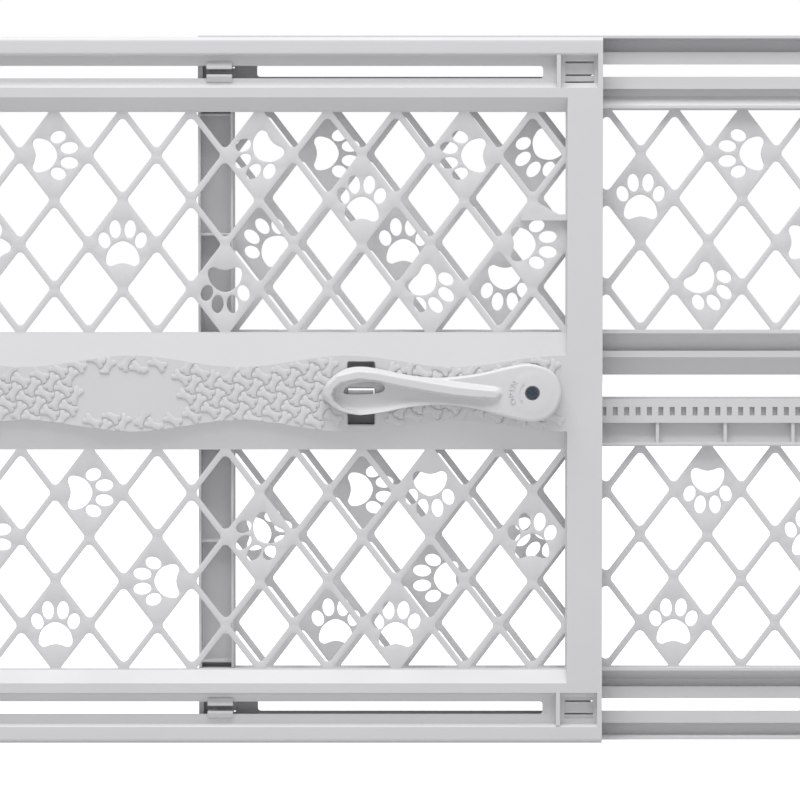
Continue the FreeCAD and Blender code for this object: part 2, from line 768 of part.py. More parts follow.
def front_beam():
    """The front beam: section, wavy band, lever slots, pivot bore and the lock dog's guide."""
    shell = body("front_beam_shell")
    pad(shell, "front_beam_section", "YZ", beam_section(FRONT), "front_mesh_left", "front_mesh_right")
    gap = "dog_half_wide + guide_play"
    guide_y = "front_face + band_back - 0.5", "dog_back"
    foot = "window_z - window_tall / 2 - dog_skirt - 2 * guide_play"
    head = "pivot_z - guide_head"
    for label, low, high in (("left", f"-({gap} + guide_wall)", f"-({gap})"),
                             ("right", gap, f"{gap} + guide_wall")):
        wall = rect(f"pivot_x + {low}", f"pivot_x + {high}", f"{foot} - guide_wall", head)
        pad(shell, f"dog_guide_{label}", "XZ", wall, *guide_y)
    floor = rect(f"pivot_x - ({gap})", f"pivot_x + {gap}", f"{foot} - guide_wall", foot)
    pad(shell, "dog_guide_floor", "XZ", floor, *guide_y)
    nodes.remove(shell)
    band = shaped("front_beam_band", wavy_band(FRONT, "band_back"), keep=False)
    solid = joined("front_beam_solid", [shell, band], keep=False)
    grip_x = "band_crest + grip_slot_shift"
    grip_z = "pivot_z + grip_slot_top"
    lower_top = f"{grip_z} - grip_upper_tall - grip_bar_tall"
    half = "grip_slot_wide / 2"
    through = "front_face - 1", "front_face + panel_deep / 2"
    cuts = []
    for name, low, high in (("grip_slot_upper", f"{grip_z} - grip_upper_tall", grip_z),
                            ("grip_slot_lower", f"{lower_top} - grip_lower_tall", lower_top)):
        made = body(name)
        pad(made, name + "_block", "XZ", rect(f"{grip_x} - {half}", f"{grip_x} + {half}", low, high),
            *through)
        fillet(made, name + "_corners", "grip_slot_round", lambda e: along(e, "y"))
        nodes.remove(made)
        cuts.append(made)
    bore = rod("pivot_bore", "y", "hub_radius + hub_play", "front_face - 1", "panel_deep", "pivot_x", "0",
               "pivot_z")
    minus("front_centre_beam", solid, joined("front_beam_cuts", [*cuts, bore], keep=False))


def rear_beam():
    """The rear beam, seen from its ribbed side: a long slot, a ridge above it and webs below the rack."""
    shell = body("rear_beam_shell")
    pad(shell, "rear_beam_section", "YZ", beam_section(REAR), "rear_mesh_left", "rear_mesh_right")
    top = "rear_middle + beam_tall / 2"
    inside = "rear_face - beam_face - wall / 2"
    ridge = rect("rear_front + ridge_deep", inside, f"{top} - ridge_from_top - ridge_thick",
                 f"{top} - ridge_from_top")
    pad(shell, "rear_beam_ridge", "YZ", ridge, "rear_mesh_left", "rear_mesh_right")
    rack_low = "window_z - rack_tall / 2"
    web = rect("rear_front + ridge_deep", "rear_face - slope_deep + wall / 2",
               "rear_middle - beam_tall / 2 + wall / 2", rack_low)
    first = "rear_mesh_left + cell_wide / 4"
    for n in range(int(read("cells_across"))):
        x = f"{first} + {n} * cell_wide"
        pad(shell, f"rear_beam_web_{n}", "YZ", web, f"{x} - web_thick / 2", f"{x} + web_thick / 2")
    nodes.remove(shell)
    band = shaped("rear_beam_band", wavy_band(REAR, "beam_face + wall"), keep=False)
    solid = joined("rear_beam_solid", [shell, band], keep=False)
    middle = "(rear_middle + centre_slot_up)"
    slot = block("rear_beam_slot", "rear_mesh_left + centre_slot_margin",
                 "rear_mesh_right - centre_slot_margin", "rear_front", "rear_face + 1",
                 f"{middle} - centre_slot_tall / 2", f"{middle} + centre_slot_tall / 2")
    minus("rear_centre_beam", solid, slot)
    return solid


def rack(beam):
    """The rack: a channel-shaped strip with a row of windows, its feet cut to the beam's inside."""
    made = body("rack_strip")
    low, high = "window_z - rack_tall / 2", "window_z + rack_tall / 2"
    front, back = "rear_front + rack_front", "rear_flat_inside"
    foot = "rear_flat_inside - wall / 2"  # ends inside the beam's sloping wall
    channel = [
        (front, low), (foot, low), (foot, f"{low} + wall"), (f"{front} + rack_wall", f"{low} + wall"),
        (f"{front} + rack_wall", f"{high} - wall"), (back, f"{high} - wall"), (back, high), (front, high),
    ]
    ends = "rear_mesh_left", "rear_mesh_right"
    pad(made, "rack_channel", "YZ", channel, *ends)
    first = "rear_left + rack_first"
    window = rect(f"{first} - window_wide / 2", f"{first} + window_wide / 2",
                  "window_z - window_tall / 2", "window_z + window_tall / 2")
    cut = pocket(made, "rack_window", "XZ", window, f"{front} - 1", f"{front} + rack_wall + 0.5")
    pattern = made.newObject("PartDesign::LinearPattern", "rack_windows_row")
    pattern.Originals = [cut]
    pattern.Direction = (cut.Profile[0], ["H_Axis"])
    pattern.setExpression("Length", sized("(rack_windows - 1) * rack_pitch"))
    pattern.setExpression("Occurrences", sized("rack_windows"))
    made.Tip = pattern
    nodes.remove(made)
    minus("rear_rack", made, beam)


# ---------------------------------------------------------------- the lever and its lock

# The lever's outline about the pivot, from the tip of the grip over the top and back underneath.
LEVER = [(-172.8, 1.0), (-160.5, 16.5), (-139.5, 21.8), (-99.5, 14.6), (-74.6, 12.8), (-43.5, 16.2),
         (-19.0, 22.0), (-1.0, 24.2), (17.2, 17.2), (24.2, 1.0), (17.4, -16.4), (0.4, -23.6),
         (-26.0, -18.6), (-50.5, -12.2), (-76.0, -9.6), (-102.5, -11.9), (-125.0, -16.2), (-145.5, -17.8),
         (-163.0, -12.0)]


def lever():
    """The lever: a grip with a scooped head and a window, a domed hub, a catch lug and a boss."""
    x, z = read("pivot_x"), read("pivot_z")
    top, back = read("lever_top"), read("lever_back")
    curve = Part.BSplineCurve()
    curve.interpolate([V(x + right, back, z + up) for right, up in LEVER], PeriodicFlag=True)
    grip = Part.Face(Part.Wire(curve.toShape())).extrude(V(0, top - back, 0))
    rim = [edge for edge in grip.Edges if all(abs(v.Y - top) < 0.01 for v in edge.Vertexes)]
    grip = grip.makeFillet(read("lever_round"), rim)
    bowl = Part.makeSphere(1)
    shape = FreeCAD.Matrix()
    shape.scale(read("bowl_long") / 2, read("bowl_deep"), read("bowl_tall") / 2)
    bowl = bowl.transformGeometry(shape)
    bowl.translate(V(x - read("bowl_from_pivot"), top, z - read("bowl_drop")))
    grip = grip.cut(bowl)
    window = Part.makeBox(read("lever_window_long"), read("lever_proud"), read("lever_window_tall"),
                          V(x - read("lever_window_from_pivot"), top, z + read("lever_window_up")))
    corners = [edge for edge in window.Edges if along(edge, "y")]
    window = window.makeFillet(read("lever_window_round"), corners)
    grip = grip.cut(window)
    lug_top = top + read("bowl_deep") - 0.5
    lug = Part.makeBox(read("lug_wide"), read("front_face") - read("lug_gap") - lug_top, read("lug_tall"),
                       V(x - read("lug_from_pivot"), lug_top, z - read("lug_drop")))
    hub_back = read("cam_front")
    boss = Part.makeCylinder(read("hub_radius"), hub_back - back + 2, V(x, back - 2, z), V(0, 1, 0))
    bore = Part.makeCylinder(read("screw_radius"), hub_back - top, V(x, top, z), V(0, 1, 0))
    sink = Part.makeCylinder(read("screw_head") + read("screw_head_play"),
                             read("screw_sunk") + read("screw_head_thick"), V(x, top, z), V(0, 1, 0))
    solid = grip.fuse(lug).fuse(boss).cut(bore).cut(sink).removeSplitter()
    shaped("lever", solid)


def cam():
    """The lock cam: a disc with a ramp that drives the dog into the rack as the lever closes."""
    x, z = read("pivot_x"), read("pivot_z")
    front, base, high = read("cam_front"), read("cam_base"), read("ramp_high")
    inner, outer = read("cam_hollow"), read("cam_radius")
    disc = Part.makeCylinder(outer, base, V(x, front, z), V(0, 1, 0))
    floor = front + base - 0.3
    profiles = []
    for turn in (-14, 0, 15, 30, 45, 60, 75, 90):
        rise = high - max(turn, 0) / 90 * read("dog_travel")
        way = V(math.sin(math.radians(turn)), 0, -math.cos(math.radians(turn)))
        centre = V(x, 0, z)
        points = [centre + way * r + V(0, y, 0) for r, y in
                  ((inner, floor), (outer, floor), (outer, max(rise, floor + 0.31)),
                   (inner, max(rise, floor + 0.31)))]
        profiles.append(Part.makePolygon(points + points[:1]))
    ramp = Part.makeLoft(profiles, True, True)
    bore = Part.makeCylinder(read("screw_radius"), base + read("dog_travel"), V(x, front, z), V(0, 1, 0))
    shaped("lock_cam", disc.fuse(ramp).cut(bore).removeSplitter())


def dog():
    """The lock dog: a plate with a nub on the cam's ramp and teeth that enter the rack's windows."""
    made = body("lock_dog")
    low = "window_z - window_tall / 2 - dog_skirt"
    high = "pivot_z - sleeve_radius - dog_thick - 1"
    plate = rect("pivot_x - dog_half_wide", "pivot_x + dog_half_wide", low, high)
    pad(made, "dog_plate", "XZ", plate, "dog_front", "dog_back")
    nub = rect("pivot_x - nub_radius", "pivot_x + nub_radius", "pivot_z - cam_radius + nub_inset",
               "pivot_z - cam_hollow - nub_inset")
    pad(made, "dog_nub", "XZ", nub, "nub_tip", "dog_front + 0.5")
    teeth = int(read("dog_teeth"))
    near = round(worked("(pivot_x - rear_left - rack_first) / rack_pitch") - (teeth - 1) / 2)
    for n in range(teeth):
        x = f"rear_left + rack_first + {near + n} * rack_pitch"
        tooth = rect(f"{x} - tooth_half", f"{x} + tooth_half",
                     "window_z - window_tall / 2 + tooth_side_play",
                     "window_z + window_tall / 2 - tooth_side_play")
        pad(made, f"dog_tooth_{n}", "XZ", tooth, "dog_back - 0.5", "tooth_tip")


def pivot_hardware():
    """What turns with the lever: screw, spacer sleeve, clamp washer and nut."""
    cam_back = "cam_front + cam_base"
    head_y = "lever_top + screw_sunk"
    nut_long = "(back_proud - washer_play - washer_thick)"
    head = rod("screw_head_disc", "y", "screw_head", head_y, "screw_head_thick", "pivot_x", "0", "pivot_z")
    shank = rod("screw_shank", "y", "screw_radius - screw_fit", f"{head_y} + 1",
                f"washer_y + washer_thick + {nut_long} - ({head_y} + 1)", "pivot_x", "0", "pivot_z")
    cross = [block(f"screw_cross_{way}", f"pivot_x - {a} / 2", f"pivot_x + {a} / 2", f"{head_y} - 1",
                   f"{head_y} + cross_wide", f"pivot_z - {b} / 2", f"pivot_z + {b} / 2")
             for way, a, b in (("flat", "cross_long", "cross_wide"), ("upright", "cross_wide", "cross_long"))]
    screw = joined("screw_blank", [head, shank], keep=False)
    minus("pivot_screw", screw, joined("screw_cross", cross, keep=False))
    sleeve = rod("sleeve_tube", "y", "sleeve_radius", cam_back, f"washer_y - ({cam_back})", "pivot_x",
                 "0", "pivot_z")
    sleeve_bore = rod("sleeve_bore", "y", "screw_radius", f"{cam_back} - 1", "panel_deep * 3",
                      "pivot_x", "0", "pivot_z")
    minus("spacer_sleeve", sleeve, sleeve_bore)
    washer = rod("washer_disc", "y", "washer_wide / 2", "washer_y", "washer_thick", "pivot_x", "0",
                 "pivot_z")
    washer_bore = rod("washer_bore", "y", "screw_radius", "washer_y - 1", "washer_thick + 2",
                      "pivot_x", "0", "pivot_z")
    minus("clamp_washer", washer, washer_bore)
    nut = doc.addObject("Part::Prism", "nut_prism")
    nut.Polygon = 6
    nut.setExpression("Circumradius", sized("nut_across / 2 / cos(30)"))
    nut.setExpression("Height", sized(nut_long))
    nut.Placement = FreeCAD.Placement(V(), TURNS["y"])
    for letter, text in zip("xyz", ("pivot_x", "washer_y + washer_thick", "pivot_z")):
        nut.setExpression(f".Placement.Base.{letter}", sized(text))
    nut_bore = rod("nut_bore", "y", "screw_radius", "washer_y", "washer_thick + 20", "pivot_x", "0",
                   "pivot_z")
    minus("lock_nut", nut, nut_bore)


# ---------------------------------------------------------------- the gate

for panel in (FRONT, REAR):
    for end in ("top", "bottom"):
        rail(panel, end)
        clip(panel, end)
        bumper(panel, end)
    for half in ("upper", "lower"):
        lattice(panel, half)
post(FRONT, "inner", "front_mesh_right", "front_right")
post(FRONT, "outer", "front_left", "front_mesh_left")
post(REAR, "inner", "rear_left", "rear_mesh_left")
post(REAR, "outer", "rear_mesh_right", "rear_right")
front_beam()
rack(rear_beam())
lever()
cam()
dog()
pivot_hardware()
doc.recompute()

for thing in doc.Objects:
    if "Invalid" in thing.State or "Error" in thing.State:
        raise RuntimeError(f"{thing.Label}: {thing.State}")
for node in nodes:
    if node.Shape.isNull() or not node.Shape.isValid() or not node.Shape.Solids:
        raise RuntimeError(f"{node.Label}: its shape is missing or not valid")

os.makedirs("parts", exist_ok=True)
for node in nodes:
    node.Shape.exportStep(f"parts/{node.Label}.step")
    box = node.Shape.BoundBox
    print(f"{node.Label:22} {len(node.Shape.Solids)} solid, {node.Shape.Volume:10.0f} mm3, "
          f"x {box.XMin:.1f}..{box.XMax:.1f}, y {box.YMin:.1f}..{box.YMax:.1f}, "
          f"z {box.ZMin:.1f}..{box.ZMax:.1f}")
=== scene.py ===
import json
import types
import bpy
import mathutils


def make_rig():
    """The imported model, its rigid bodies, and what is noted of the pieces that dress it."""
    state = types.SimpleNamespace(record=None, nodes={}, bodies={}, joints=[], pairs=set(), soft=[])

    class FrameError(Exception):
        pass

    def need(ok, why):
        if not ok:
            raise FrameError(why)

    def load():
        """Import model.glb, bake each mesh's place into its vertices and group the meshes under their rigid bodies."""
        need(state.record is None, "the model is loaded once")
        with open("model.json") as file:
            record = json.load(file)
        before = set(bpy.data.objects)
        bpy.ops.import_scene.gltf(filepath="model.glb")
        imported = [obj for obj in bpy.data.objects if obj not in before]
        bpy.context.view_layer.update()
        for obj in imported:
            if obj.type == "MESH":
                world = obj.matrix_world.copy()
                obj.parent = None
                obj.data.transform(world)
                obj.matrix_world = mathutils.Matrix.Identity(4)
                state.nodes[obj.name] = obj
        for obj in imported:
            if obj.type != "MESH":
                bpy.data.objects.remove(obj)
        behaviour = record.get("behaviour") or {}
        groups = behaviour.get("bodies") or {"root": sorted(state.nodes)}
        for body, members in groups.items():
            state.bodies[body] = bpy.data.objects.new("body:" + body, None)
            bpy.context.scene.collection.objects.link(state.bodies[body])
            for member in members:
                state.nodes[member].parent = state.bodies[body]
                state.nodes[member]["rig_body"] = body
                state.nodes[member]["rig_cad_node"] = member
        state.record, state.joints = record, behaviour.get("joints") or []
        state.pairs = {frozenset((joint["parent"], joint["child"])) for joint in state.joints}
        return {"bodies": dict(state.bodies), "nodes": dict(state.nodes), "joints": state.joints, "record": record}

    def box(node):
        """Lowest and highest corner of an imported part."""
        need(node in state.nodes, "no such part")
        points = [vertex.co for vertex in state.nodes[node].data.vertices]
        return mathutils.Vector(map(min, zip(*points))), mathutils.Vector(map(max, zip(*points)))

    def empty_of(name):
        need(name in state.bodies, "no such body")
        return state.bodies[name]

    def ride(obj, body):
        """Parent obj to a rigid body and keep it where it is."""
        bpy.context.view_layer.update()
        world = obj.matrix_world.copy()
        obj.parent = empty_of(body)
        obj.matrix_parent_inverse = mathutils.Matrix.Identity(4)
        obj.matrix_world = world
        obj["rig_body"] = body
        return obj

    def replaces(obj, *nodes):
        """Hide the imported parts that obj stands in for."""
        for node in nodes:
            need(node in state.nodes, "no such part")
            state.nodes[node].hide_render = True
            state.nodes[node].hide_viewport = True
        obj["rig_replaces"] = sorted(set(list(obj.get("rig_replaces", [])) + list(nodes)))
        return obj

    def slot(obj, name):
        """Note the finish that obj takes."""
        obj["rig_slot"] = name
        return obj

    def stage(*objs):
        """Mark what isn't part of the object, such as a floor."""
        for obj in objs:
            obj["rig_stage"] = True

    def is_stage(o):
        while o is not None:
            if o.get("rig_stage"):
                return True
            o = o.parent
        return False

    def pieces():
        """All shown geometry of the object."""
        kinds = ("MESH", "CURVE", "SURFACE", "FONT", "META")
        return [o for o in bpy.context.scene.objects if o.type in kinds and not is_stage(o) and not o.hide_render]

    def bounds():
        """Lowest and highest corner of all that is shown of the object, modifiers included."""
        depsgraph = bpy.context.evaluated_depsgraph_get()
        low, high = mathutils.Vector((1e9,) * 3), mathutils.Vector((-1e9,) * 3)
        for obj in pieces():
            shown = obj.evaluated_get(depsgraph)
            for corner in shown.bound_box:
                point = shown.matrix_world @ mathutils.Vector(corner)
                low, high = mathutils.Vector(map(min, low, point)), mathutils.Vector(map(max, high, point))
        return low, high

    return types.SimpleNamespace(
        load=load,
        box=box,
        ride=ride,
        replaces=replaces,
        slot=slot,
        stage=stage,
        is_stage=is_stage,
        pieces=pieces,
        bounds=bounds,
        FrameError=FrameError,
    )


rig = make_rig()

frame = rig.load()
cad_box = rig.bounds()

# %% [markdown]
# A two-panel pet gate, moulded in white polypropylene. Two flat panels slide past each other to fit a
# doorway, and a lever in the middle locks them. The exact solids come in with the frame. What is made here is
# everything the eye needs on top: soft moulded edges, lattices with rounded strands, the bone relief on the
# wavy band, the sculpted lever, rubber pads, and the plastic itself.

# %% Tools
import json
import math
import bmesh
import bpy
from mathutils import Matrix, Vector
from mathutils.geometry import interpolate_bezier

MM = 0.001
scene = bpy.context.scene


def linear(code):
    """An sRGB colour, written as six hex digits, as the linear RGBA that shaders want."""
    channels = [int(code[n:n + 2], 16) / 255 for n in (1, 3, 5)]
    return [c / 12.92 if c <= 0.04045 else ((c + 0.055) / 1.055) ** 2.4 for c in channels] + [1.0]


def add(tree, kind, inputs=None, **settings):
    """One new node: settings are its properties, inputs the values, sockets or nodes that feed it."""
    node = tree.nodes.new(kind)
    for name, value in settings.items():
        setattr(node, name, value)
    for name, value in (inputs or {}).items():
        if isinstance(value, bpy.types.Node):
            value = value.outputs[0]
        if isinstance(value, bpy.types.NodeSocket):
            tree.links.new(value, node.inputs[name])
        else:
            node.inputs[name].default_value = value
    return node


def placed(name, data):
    """A new object that holds this data, linked into the scene."""
    made = bpy.data.objects.new(name, data)
    scene.collection.objects.link(made)
    return made


print("tools are ready; the gate measures", [round(v, 4) for v in cad_box[1]])

# %% [markdown]
# The gate is looked at square from the front, from a little above the lever's height and two and a half
# metres away, through a long lens. That is how a catalogue shows it: nearly no perspective, and the ends of
# the rails run out of the frame.

# %% Camera
SENSOR = 36.0
LENS = 135.0
CAMERA_AT = (0.3 * MM, -2.4925, 0.353)
CAMERA_DIP = 1.58  # degrees below level
camera_data = bpy.data.cameras.new("camera")
camera_data.sensor_width = SENSOR
camera_data.lens = LENS
camera_data.clip_end = 50
camera = placed("camera", camera_data)
camera.location = CAMERA_AT
camera.rotation_euler = (math.radians(90 - CAMERA_DIP), 0, 0)
scene.camera = camera
scene.view_settings.view_transform = "Standard"
print("camera at", tuple(round(v, 3) for v in camera.location))

# %% [markdown]
# White plastic shows its shape only through soft shade, so the light is one wide panel above the front and a
# pale room all round. The top edges catch the panel, the undersides look at the dimmer floor. The floor and
# the room read as white to the camera, but they keep the shadow under the gate.

# %% Light
KEY_WATTS = 83.0
KEY_SIZE = (2.6, 1.6)
KEY_AT = Vector((-0.35, -1.2, 3.15))
KEY_AIM = Vector((0, 0, 0.3))
ROOM = 0.55
key_data = bpy.data.lights.new("key_panel", "AREA")
key_data.shape = "RECTANGLE"
key_data.size, key_data.size_y = KEY_SIZE
key_data.energy = KEY_WATTS
key = placed("key_panel", key_data)
key.location = KEY_AT
key.rotation_euler = (KEY_AIM - KEY_AT).to_track_quat("-Z", "Y").to_euler()

room = bpy.data.worlds.new("pale_room")
room.use_nodes = True
scene.world = room
tree = room.node_tree
tree.nodes.clear()
path = add(tree, "ShaderNodeLightPath")
seen = add(tree, "ShaderNodeMath", {0: path.outputs["Is Camera Ray"], 1: path.outputs["Is Transmission Ray"]},
           operation="MAXIMUM")
lit = add(tree, "ShaderNodeBackground", {"Color": linear("#FCFCFF"), "Strength": ROOM})
white = add(tree, "ShaderNodeBackground", {"Color": linear("#FFFFFF"), "Strength": 1.0})
both = add(tree, "ShaderNodeMixShader", {0: seen.outputs[0], 1: lit.outputs[0], 2: white.outputs[0]})
add(tree, "ShaderNodeOutputWorld", {"Surface": both.outputs[0]})
print("key light", KEY_WATTS, "W, room", ROOM)

# %% [markdown]
# A white floor would fill the undersides with light, so all light meets a pale grey paint here. Only for rays
# straight from the camera is an even glow added to it, which brings the floor to white and leaves the soft
# shadow in it.

# %% Floor
FLOOR_GLOW = 0.85
FLOOR_HALF = 14.0
floor_material = bpy.data.materials.new("painted_studio_floor")
floor_material.use_nodes = True
tree = floor_material.node_tree
tree.nodes.clear()
path = add(tree, "ShaderNodeLightPath")
paint = add(tree, "ShaderNodeBsdfDiffuse", {"Color": linear("#DADADA")})
lift = add(tree, "ShaderNodeEmission", {"Color": linear("#FFFFFF"), "Strength": FLOOR_GLOW})
lifted = add(tree, "ShaderNodeAddShader", {0: paint.outputs[0], 1: lift.outputs[0]})
both = add(tree, "ShaderNodeMixShader",
           {0: path.outputs["Is Camera Ray"], 1: paint.outputs[0], 2: lifted.outputs[0]})
add(tree, "ShaderNodeOutputMaterial", {"Surface": both.outputs[0]})
mesh = bpy.data.meshes.new("floor")
corners = [(-1, -1), (1, -1), (1, 1), (-1, 1)]
mesh.from_pydata([(x * FLOOR_HALF, y * FLOOR_HALF, 0) for x, y in corners], [], [(0, 1, 2, 3)])
mesh.materials.append(floor_material)
floor = placed("floor", mesh)
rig.stage(floor)
print("floor", 2 * FLOOR_HALF, "m square")

# %% [markdown]
# The panels, lever and lock are injection moulded in white polypropylene. A mould with a fine spark texture
# leaves a satin surface: a soft, wide sheen, a slight unevenness where the melt flowed, and nothing that
# looks like a pattern. So the base colour hardly varies, the roughness drifts a little, and the bump is a
# grain of a third of a millimetre.


# %% Materials
def plastic(name, code, darker, roughness, grain_mm, grain_depth, flow_mm=90.0):
    """Moulded plastic: two close tones drifting with the melt's flow, and a fine grain in the surface."""
    made = bpy.data.materials.new(name)
    made.use_nodes = True
    tree = made.node_tree
    shader = tree.nodes["Principled BSDF"]
    place = add(tree, "ShaderNodeTexCoord").outputs["Object"]
    flow = add(tree, "ShaderNodeTexNoise", {"Vector": place, "Scale": 1000 / flow_mm, "Detail": 2.0})
    tone = add(tree, "ShaderNodeMix", {"Factor": flow.outputs["Fac"], "A": linear(code),
                                       "B": linear(darker)}, data_type="RGBA")
    grain = add(tree, "ShaderNodeTexNoise", {"Vector": place, "Scale": 1000 / grain_mm, "Detail": 3.0})
    sheen = add(tree, "ShaderNodeMapRange", {"Value": flow.outputs["Fac"], "From Min": 0.3, "From Max": 0.7,
                                             "To Min": roughness - 0.04, "To Max": roughness + 0.04})
    bump = add(tree, "ShaderNodeBump", {"Height": grain.outputs["Fac"], "Strength": 0.25,
                                        "Distance": grain_depth * MM})
    tree.links.new(tone.outputs["Result"], shader.inputs["Base Color"])
    tree.links.new(sheen.outputs["Result"], shader.inputs["Roughness"])
    tree.links.new(bump.outputs["Normal"], shader.inputs["Normal"])
    shader.inputs["IOR"].default_value = 1.49
    return made


# One finish for each of the record's material slots; the screw's steel joins them further down.
FINISH = {
    "panel_plastic": plastic("moulded_polypropylene_satin", "#D8D8D9", "#D1D1D2", 0.46, 0.7, 0.05),
    "lever_plastic": plastic("moulded_polypropylene_smooth", "#DADADB", "#D5D5D6", 0.34, 0.9, 0.02),
    # Acetal is slipperier and slightly creamier than the panels, as lock parts are.
    "lock_plastic": plastic("moulded_acetal_natural", "#E2E0D8", "#DAD8D0", 0.3, 1.2, 0.02),
    # Thermoplastic rubber: no gloss to speak of, and a dusty, slightly uneven face.
    "bumper_rubber": plastic("thermoplastic_rubber_matt", "#A9AAAD", "#9C9DA0", 0.78, 0.5, 0.09, 25.0),
}
print("finishes:", [made.name for made in FINISH.values()])

# %% [markdown]
# Rails, posts, beams, rack and hooks keep the exact solid's shape. No edge is sharp on real mouldings: the
# tool leaves a radius of half a millimetre or more, and that radius is what draws the bright and dark lines
# along every step. So each solid is copied, its loose triangles are merged into whole faces, and a Bevel
# modifier rounds what is left. Modelling the radii in the exact solid would cost far more and change nothing
# that fits or touches.

# %% Soft edges
WELD = 0.002  # corners nearer than this are one
FLAT = 0.6  # degrees between neighbours that make one flat face
BODY_OF = {name: node["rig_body"] for name, node in frame["nodes"].items()}


def as_mesh(name, shape):
    """A finished bmesh as a mesh of its own."""
    mesh = bpy.data.meshes.new(name)
    shape.to_mesh(mesh)
    shape.free()
    return mesh


def link(name, mesh, slot, body):
    """A finished mesh as an object at the origin, with its slot's finish, riding on a body."""
    mesh.materials.clear()
    mesh.materials.append(FINISH[slot])
    piece = placed(name, mesh)
    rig.slot(piece, slot)
    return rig.ride(piece, body)


def rounded(piece, radius, segments=2, from_angle=30):
    """A live Bevel on every edge where the faces turn by more than an angle in degrees."""
    bevel = piece.modifiers.new("moulded_edges", "BEVEL")
    bevel.width = radius * MM
    bevel.segments = segments
    bevel.limit_method = "ANGLE"
    bevel.angle_limit = math.radians(from_angle)
    bevel.harden_normals = True


def merged(node):
    """The exact solid's mesh as whole smooth faces: doubles merged, flat neighbours dissolved."""
    shape = bmesh.new()
    shape.from_mesh(frame["nodes"][node].data)
    bmesh.ops.remove_doubles(shape, verts=shape.verts, dist=WELD * MM)
    bmesh.ops.dissolve_limit(shape, angle_limit=math.radians(FLAT), verts=shape.verts, edges=shape.edges)
    for face in shape.faces:
        face.smooth = True
    return shape


def softened(node, radius, slot):
    """A copy of a solid with rounded edges, which stands for it."""
    piece = link(node + "_moulded", as_mesh(node + "_moulded", merged(node)), slot, BODY_OF[node])
    rounded(piece, radius, from_angle=28)
    flat = piece.modifiers.new("flat_faces_stay_flat", "WEIGHTED_NORMAL")
    flat.keep_sharp = True
    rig.replaces(piece, node)


for side in ("front", "rear"):
    for place in ("top", "bottom"):
        softened(f"{side}_{place}_rail", 0.9, "panel_plastic")
        softened(f"{side}_{place}_hook", 0.35, "panel_plastic")
    for place in ("inner", "outer"):
        softened(f"{side}_{place}_post", 0.6, "panel_plastic")
    softened(f"{side}_centre_beam", 0.5, "panel_plastic")
softened("rear_rack", 0.3, "panel_plastic")
softened("lock_dog", 0.3, "lock_plastic")
softened("lock_cam", 0.3, "lock_plastic")
print("softened", [o.name for o in scene.objects if o.name.endswith("_moulded")])

# %% [markdown]
# Each lattice follows one rule: diamonds in nine columns, and a paw cut into some of the diamonds that stay
# filled. That is work for Geometry Nodes. The modifier gets one point for each diamond. It puts a rounded
# diamond, or a paw, on each point, holds those at the border inside the frame, fills the plate between all
# these outlines, and sweeps a small half-round wall along each outline, so that every strand is soft on both
# faces. A paw is four toes and a heel pad, which are drawn once as curves.

# %% Paw and wall outlines
SOFT = 0.4  # radius on every edge of a strand
# Each toe's centre, half width, half height and tilt, with the toes up.
TOES = [(-15.1, 3.4, 5.0, 6.7, 18), (15.1, 3.4, 5.0, 6.7, -18),
        (-6.2, 12.6, 4.9, 7.5, 5), (6.2, 12.6, 4.9, 7.5, -5)]
PAD_HALF = [(0, 2.7), (6.3, 0.6), (11.6, -4.4), (14.0, -11.4), (13.3, -16.0), (9.6, -17.9), (5.0, -16.4),
            (0, -15.5)]


def helper_curve(name, loops, closed=True):
    """A plain curve object of straight-edged loops, used inside a node tree and removed later."""
    data = bpy.data.curves.new(name, "CURVE")
    for points in loops:
        spline = data.splines.new("POLY")
        spline.points.add(len(points) - 1)
        for point, (x, y) in zip(spline.points, points):
            point.co = (x * MM, y * MM, 0, 1)
        spline.use_cyclic_u = closed
    return placed(name, data)


def smooth_loop(points, steps):
    """A closed curve through the points, as a list of points."""
    out = []
    count = len(points)
    for n in range(count):
        a, b, c, d = (Vector(points[(n + k) % count]) for k in (-1, 0, 1, 2))
        for p in interpolate_bezier(b, b + (c - a) / 6, c - (d - b) / 6, c, steps + 1)[:-1]:
            out.append((p.x, p.y))
    return out


def grown(points, amount):
    """A convex-ish outline pushed out by an amount, away from its own edge."""
    out = []
    for n, here in enumerate(points):
        before, after = Vector(points[n - 1]), Vector(points[(n + 1) % len(points)])
        along = (after - before).normalized()
        out.append((here[0] + along.y * amount, here[1] - along.x * amount))
    return out


paw_loops = []
for x, y, half_wide, half_tall, tilt in TOES:
    lean = math.radians(tilt)
    toe = []
    for n in range(20):
        turn = 2 * math.pi * n / 20
        across, up = (half_wide + SOFT) * math.cos(turn), (half_tall + SOFT) * math.sin(turn)
        toe.append((x + across * math.cos(lean) - up * math.sin(lean),
                    y + across * math.sin(lean) + up * math.cos(lean)))
    paw_loops.append(toe)
pad_points = PAD_HALF + [(-x, y) for x, y in PAD_HALF[-2:0:-1]]
pad = smooth_loop(list(reversed(pad_points)), 4)
paw_loops.append(grown(pad, SOFT))
paw_curve = helper_curve("paw_outline", paw_loops)

mesh_low, mesh_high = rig.box("front_upper_mesh")
THICK = (mesh_high.y - mesh_low.y) / MM
wall = [(-SOFT * math.sin(a), -SOFT * (1 - math.cos(a))) for a in (0, math.pi / 4, math.pi / 2)]
wall += [(u, -THICK - w) for u, w in reversed(wall)]
wall_curve = helper_curve("strand_wall", [wall], closed=False)
edge_curve = helper_curve("plate_edge", [[(0, 0), (0, -THICK)]], closed=False)
print("a paw of", len(paw_loops), "outlines, a strand", round(THICK, 2), "mm thick")

# %% Lattice tree


